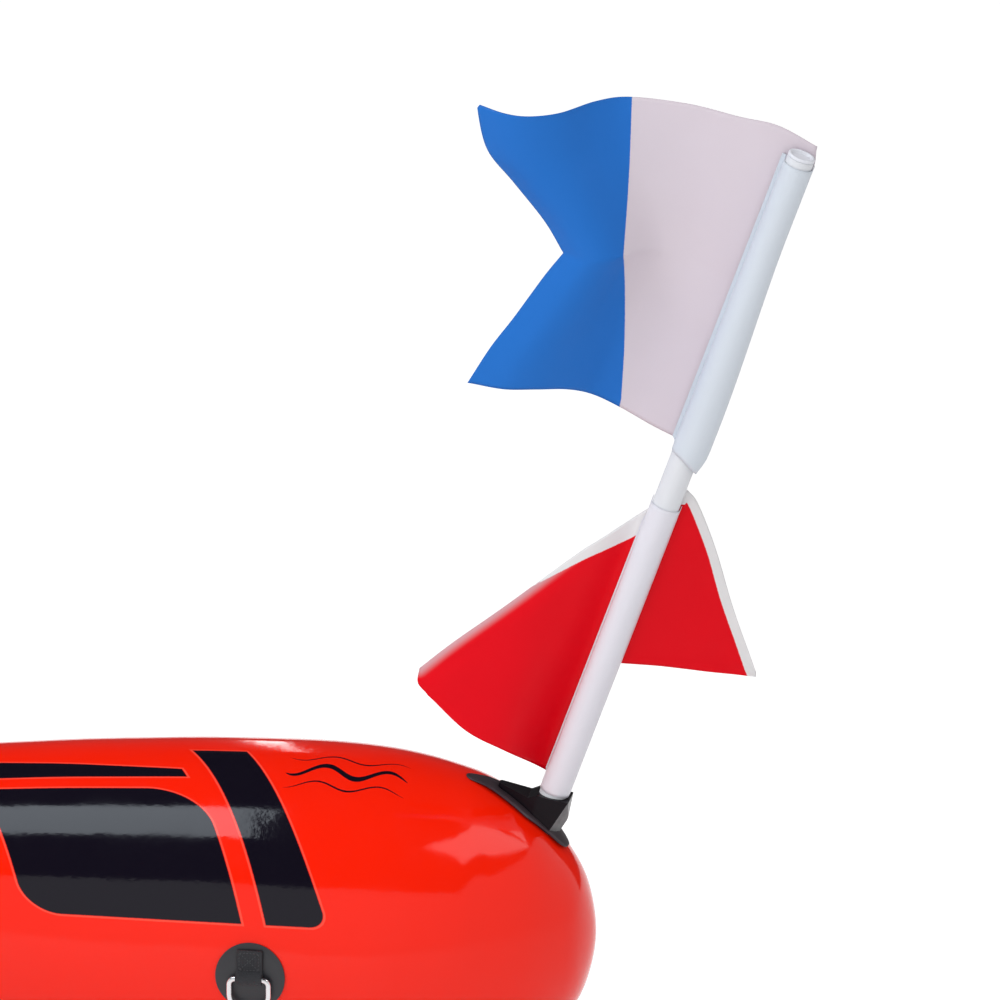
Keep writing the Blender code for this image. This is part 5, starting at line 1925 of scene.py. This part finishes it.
@dataclass
class RingPoint:
    """A webbing tab and the D-ring in its loop."""

    finishes: Finishes
    name: str
    tab_node: str
    ring_node: str
    ring_body: str
    tab_place: Matrix
    ring_place: Matrix
    length: float
    width: float = 0.018
    wire: float = 0.0019
    clearance: float = 0.0005
    webbing: float = 0.0016
    doubled: float = 0.0026
    bar_half: float = 0.0135
    reach: float = 0.0240
    corner: float = 0.0040
    stitch: Point = (0.00085, 0.00030, 0.00022)
    stitch_pitch: float = 0.0024
    stitch_height: float = 0.00262
    sewn_from: float = 0.015

    def ring_line(self) -> list[Point]:
        """Returns the D-ring's line: its bar along X at Y = 0, its bow towards +Y."""
        points = []
        for end in (1.0, -1.0):
            steps = range(9) if end < 0.0 else range(8, -1, -1)
            for step in steps:
                turn = math.pi * step / 16.0
                points.append((end * (self.bar_half - self.corner + self.corner * math.sin(turn)),
                               self.corner - self.corner * math.cos(turn), 0.0))
        for step in range(33):
            turn = math.pi * (1.0 - step / 32.0)
            points.append((self.bar_half * math.cos(turn),
                           self.reach - self.bar_half + self.bar_half * math.sin(turn), 0.0))
        return points

    def strap_outline(self) -> list[tuple[float, float]]:
        """Returns the folded strap's closed outline round the ring's bar."""
        outer = self.wire + self.clearance + self.webbing
        edge = []
        for step in range(25):
            turn = math.radians(-90.0 + 243.0 * step / 24.0)
            edge.append((outer * math.cos(turn), outer + outer * math.sin(turn)))
        return [(-self.length, 0.0), *edge, (-outer * 1.35, self.doubled), (-self.length, self.doubled)]

    def tab(self) -> bpy.types.Mesh:
        """Extrudes the strap's outline along X and drills the ring's way.

        Returns:
            The strap's mesh, in its own frame.
        """
        strap = slab(self.name + "_strap", self.strap_outline(), -self.width / 2.0, self.width / 2.0)
        strap.transform(Matrix(((0.0, 0.0, 1.0), (1.0, 0.0, 0.0), (0.0, 1.0, 0.0))).to_4x4())
        hole = self.wire + self.clearance
        place = Matrix.Translation((0.0, 0.0, hole + self.webbing)) @ Matrix.Rotation(math.pi / 2.0, 4, "Y")
        return cut(strap, rod(self.name + "_way", hole, 0.02, -0.02, 40, place))

    def stitches(self) -> bpy.types.Mesh:
        """Sews a box and a cross on the strap.

        Returns:
            The stitches' mesh, in the strap's frame.
        """
        half = self.width / 2.0 - 0.0022
        near, far = -self.length + 0.0016, -0.0062
        corners = [Vector(corner) for corner in ((-half, near), (half, near), (half, far), (-half, far))]
        runs = [(corners[start], corners[end]) for start, end in (
            (0, 1), (1, 2), (2, 3), (3, 0), (0, 2), (1, 3))]

        def build(shape: bmesh.types.BMesh) -> None:
            """Lays short round stitches along each run."""
            for start, end in runs:
                line = end - start
                count = max(round(line.length / self.stitch_pitch), 1)
                turned = Matrix.Rotation(math.atan2(line.y, line.x), 4, "Z")
                laid = turned @ Matrix.Diagonal((*self.stitch, 1.0))
                for step in range(count):
                    middle = start + line * ((step + 0.5) / count)
                    place = Matrix.Translation((middle.x, middle.y, self.stitch_height)) @ laid
                    bmesh.ops.create_icosphere(shape, subdivisions=1, radius=1.0, matrix=place)
        return mesh_from(self.name + "_stitches", build)

    def build(self) -> None:
        """Makes the tab, its stitching and the ring."""
        strap = self.tab()
        flat_map(strap, (1.0, 0.0, 0.0), (0.0, 1.0, 0.35))
        strap.transform(self.tab_place)
        tab = add_piece(self.name + "_strap", strap, self.finishes.webbing, "hull",
                        (self.tab_node,))
        round_edges(tab, 0.0004, 2)
        if self.length > self.sewn_from:
            sewn = self.stitches()
            sewn.transform(self.tab_place)
            add_piece(self.name + "_stitches", sewn, self.finishes.thread, "hull", (), 180.0)
        ring = wire_mesh(self.name + "_steel", self.ring_line(), self.wire)
        ring.transform(self.ring_place)
        add_piece(self.name + "_steel", ring, self.finishes.steel, self.ring_body,
                  (self.ring_node,), 60.0)


@dataclass
class GearPoints:
    """The four side patches with their tabs and rings, and the nose's tow ring."""

    form: HullForm
    finishes: Finishes
    stations: tuple[float, ...] = (-0.150, 0.120)
    patch_radius: float = 0.024
    tab_length: float = 0.020
    patch_thickness: float = 0.0015
    ring_height: float = 0.0040
    nose_end: float = -0.322
    nose_turns: int = 120
    tow_tab_length: float = 0.010

    def build(self) -> None:
        """Makes every patch, tab and ring."""
        number = 0
        stand = Matrix.Translation((0.0, 0.0, self.ring_height))
        for side in (1.0, -1.0):
            for station in self.stations:
                number += 1
                angle = side * math.pi / 2.0
                RoundPatch(self.form, "side_patch_%d" % number, station, angle, self.patch_radius,
                           self.finishes.black_sheet, "gear_patch_%d" % number, "black_pvc").build()
                place = self.form.frame_at(station, angle, self.patch_thickness + 2.0 * SEAT_GAP)
                if side > 0.0:
                    place = place @ Matrix.Rotation(math.pi, 4, "Z")
                RingPoint(self.finishes, "side_%d" % number, "gear_%d_tab" % number, "gear_%d_ring" % number,
                          "gear_ring_%d" % number, place, place @ stand, self.tab_length).build()
        self.build_nose()

    def build_nose(self) -> None:
        """Makes the nose cap and the tow ring at its tip."""
        outer = SEAT_GAP + self.patch_thickness
        line = [point for point in self.form.line if point.x <= self.nose_end]
        mesh = mesh_from("nose_cover", lambda shape: self.form.spin(shape, line, outer, self.nose_turns))
        if mesh.polygons[0].normal.x > 0.0:
            mesh.flip_normals()
        cover = add_piece("nose_cover", mesh, self.finishes.black_sheet, "hull", ("nose_cap",))
        thicken(cover, self.patch_thickness, -1.0)
        round_edges(cover, 0.0005)
        tip = self.form.outline[0][0] - outer - SEAT_GAP - self.tow_tab_length
        place = Matrix.Translation((tip, 0.0, AXIS_HEIGHT))
        strap_turn = Matrix(((0.0, -1.0, 0.0), (1.0, 0.0, 0.0), (0.0, 0.0, 1.0))).to_4x4()
        ring_turn = Matrix(((0.0, 0.0, 1.0), (-1.0, 0.0, 0.0), (0.0, -1.0, 0.0))).to_4x4()
        drop = Matrix.Translation((0.0, 0.0, -self.ring_height))
        RingPoint(self.finishes, "tow", "tow_tab", "tow_ring", "tow_eye", place @ strap_turn @ drop,
                  place @ ring_turn, self.tow_tab_length).build()


@dataclass
class Valve:
    """The inflation valve's patch; its moulded parts keep their solids."""

    form: HullForm
    finishes: Finishes
    patch_radius: float = 0.027

    def build(self) -> None:
        """Lays the patch."""
        RoundPatch(self.form, "valve_sheet", self.form.valve_x, 0.0, self.patch_radius,
                   self.finishes.hull, "valve_patch", "hull_pvc").build()


@dataclass
class Keel:
    """The flat-bottomed ballast pouch under the hull."""

    form: HullForm
    finishes: Finishes
    centre_x: float = 0.030
    length: float = 0.190
    width: float = 0.066
    corner: float = 0.016
    points: int = 160
    levels: tuple[tuple[float, float], ...] = (
        (0.0, -0.0030), (0.0008, -0.0012), (0.0026, 0.0), (0.0070, 0.0014), (0.0120, 0.0012),
        (0.0160, 0.0004),
    )
    flange: float = 0.0070
    flange_lift: float = 0.0016
    wall_gap: float = 0.0030
    wall: float = 0.0012
    facings: dict[float, Vector] = field(init=False)

    def __post_init__(self) -> None:
        """Lists the directions of the outline's points from its middle, by their shares."""
        steps = self.points * 4
        self.facings = {
            step / steps: Vector(self.ring(step / steps, 0.0)).normalized() for step in range(steps)
        }

    def ring(self, share: float, grow: float) -> tuple[float, float]:
        """Gives a point of the pouch's rounded outline.

        Args:
            share: The share round the outline.
            grow: How far the outline is moved outwards.

        Returns:
            The point's x from the middle, and y.
        """
        half_length, half_width = self.length / 2.0 + grow, self.width / 2.0 + grow
        corner = self.corner + grow
        flat_x, flat_y = half_length - corner, half_width - corner
        quarter = math.pi * corner / 2.0
        runs = (2.0 * flat_y, quarter, 2.0 * flat_x, quarter) * 2
        reach = share % 1.0 * sum(runs)
        starts = ((half_length, -flat_y, 90.0), (flat_x, flat_y, 0.0), (flat_x, half_width, 180.0),
                  (-flat_x, flat_y, 90.0), (-half_length, flat_y, 270.0), (-flat_x, -flat_y, 180.0),
                  (-flat_x, -half_width, 0.0), (flat_x, -flat_y, 270.0))
        for index, run in enumerate(runs):
            if reach <= run or index == 7:
                break
            reach -= run
        x, y, heading = starts[index]
        if index % 2 == 0:
            turn = math.radians(heading)
            return x + reach * math.cos(turn), y + reach * math.sin(turn)
        turn = math.radians(heading) + reach / corner
        return x + corner * math.cos(turn), y + corner * math.sin(turn)

    def under_hull(self, x: float, y: float) -> float:
        """Returns the height of the hull's underside."""
        radius = self.form.radius_at(x)
        return AXIS_HEIGHT - math.sqrt(max(radius * radius - y * y, 0.0))

    def share_of(self, x: float, y: float) -> float:
        """Returns the share round the outline nearest to a point."""
        facing = Vector((x, y)).normalized()
        return max(self.facings, key=lambda share: self.facings[share].dot(facing))

    def build(self) -> None:
        """Makes the pouch: a flat floor, soft sides and a flange welded to the hull."""
        def build(shape: bmesh.types.BMesh) -> None:
            """Extrudes the floor's outline up to the hull, level by level."""
            made = bmesh.ops.create_circle(shape, cap_ends=True, segments=self.points, radius=1.0)["verts"]
            for index, vertex in enumerate(made):
                x, y = self.ring(index / self.points, self.levels[0][1])
                vertex.co = (self.centre_x + x, y, 0.0)
            edges = [edge for edge in shape.edges if len(edge.link_faces) == 1]
            rows = [*self.levels, (None, 0.0004), (None, self.flange * 0.5), (None, self.flange)]
            for height, grow in rows[1:]:
                grown = bmesh.ops.extrude_edge_only(shape, edges=edges)["geom"]
                edges = [item for item in grown if isinstance(item, bmesh.types.BMEdge)]
                for vertex in (item for item in grown if isinstance(item, bmesh.types.BMVert)):
                    x, y = self.ring(self.share_of(vertex.co.x - self.centre_x, vertex.co.y), grow)
                    hull = self.under_hull(self.centre_x + x, y)
                    on_flange = height is None
                    z = hull - self.flange_lift if on_flange else min(height, hull - self.wall_gap)
                    vertex.co = (self.centre_x + x, y, z)
            bmesh.ops.recalc_face_normals(shape, faces=shape.faces)
        mesh = mesh_from("ballast_pouch", build)
        if mesh.polygons[0].normal.z > 0.0:
            mesh.flip_normals()
        obj = add_piece("ballast_pouch", mesh, self.finishes.black_sheet, "hull",
                        ("keel_pouch",), 50.0)
        thicken(obj, self.wall, -1.0)


@dataclass
class SolidPieces:
    """The plug, valve parts and weight, whose solids keep their shape and get a finish."""

    finishes: Finishes

    def build(self) -> None:
        """Puts a finish on each kept solid."""
        for material, names in (
            (self.finishes.valve, ("mast_foot_plug", "valve_base", "valve_flap", "valve_cap")),
            (self.finishes.lead, ("ballast_weight",)),
        ):
            for name in names:
                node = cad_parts[name]
                node.data.materials.clear()
                node.data.materials.append(material)
                log.info("%s keeps its solid in %s", name, material.name)


def main() -> None:
    """Builds the float's looks in order."""
    logging.basicConfig(level=logging.INFO, format="%(name)s %(message)s")
    Studio().build()
    finishes = Finishes()
    form = HullForm()
    Hull(form, finishes).build()
    Saddle(form, finishes).build()
    Socket(form, finishes).build()
    Mast(finishes).build()
    UpperFlag(finishes).build()
    LowerFlag(finishes).build()
    GearPoints(form, finishes).build()
    Valve(form, finishes).build()
    Keel(form, finishes).build()
    SolidPieces(finishes).build()


if __name__ == "__main__":
    main()
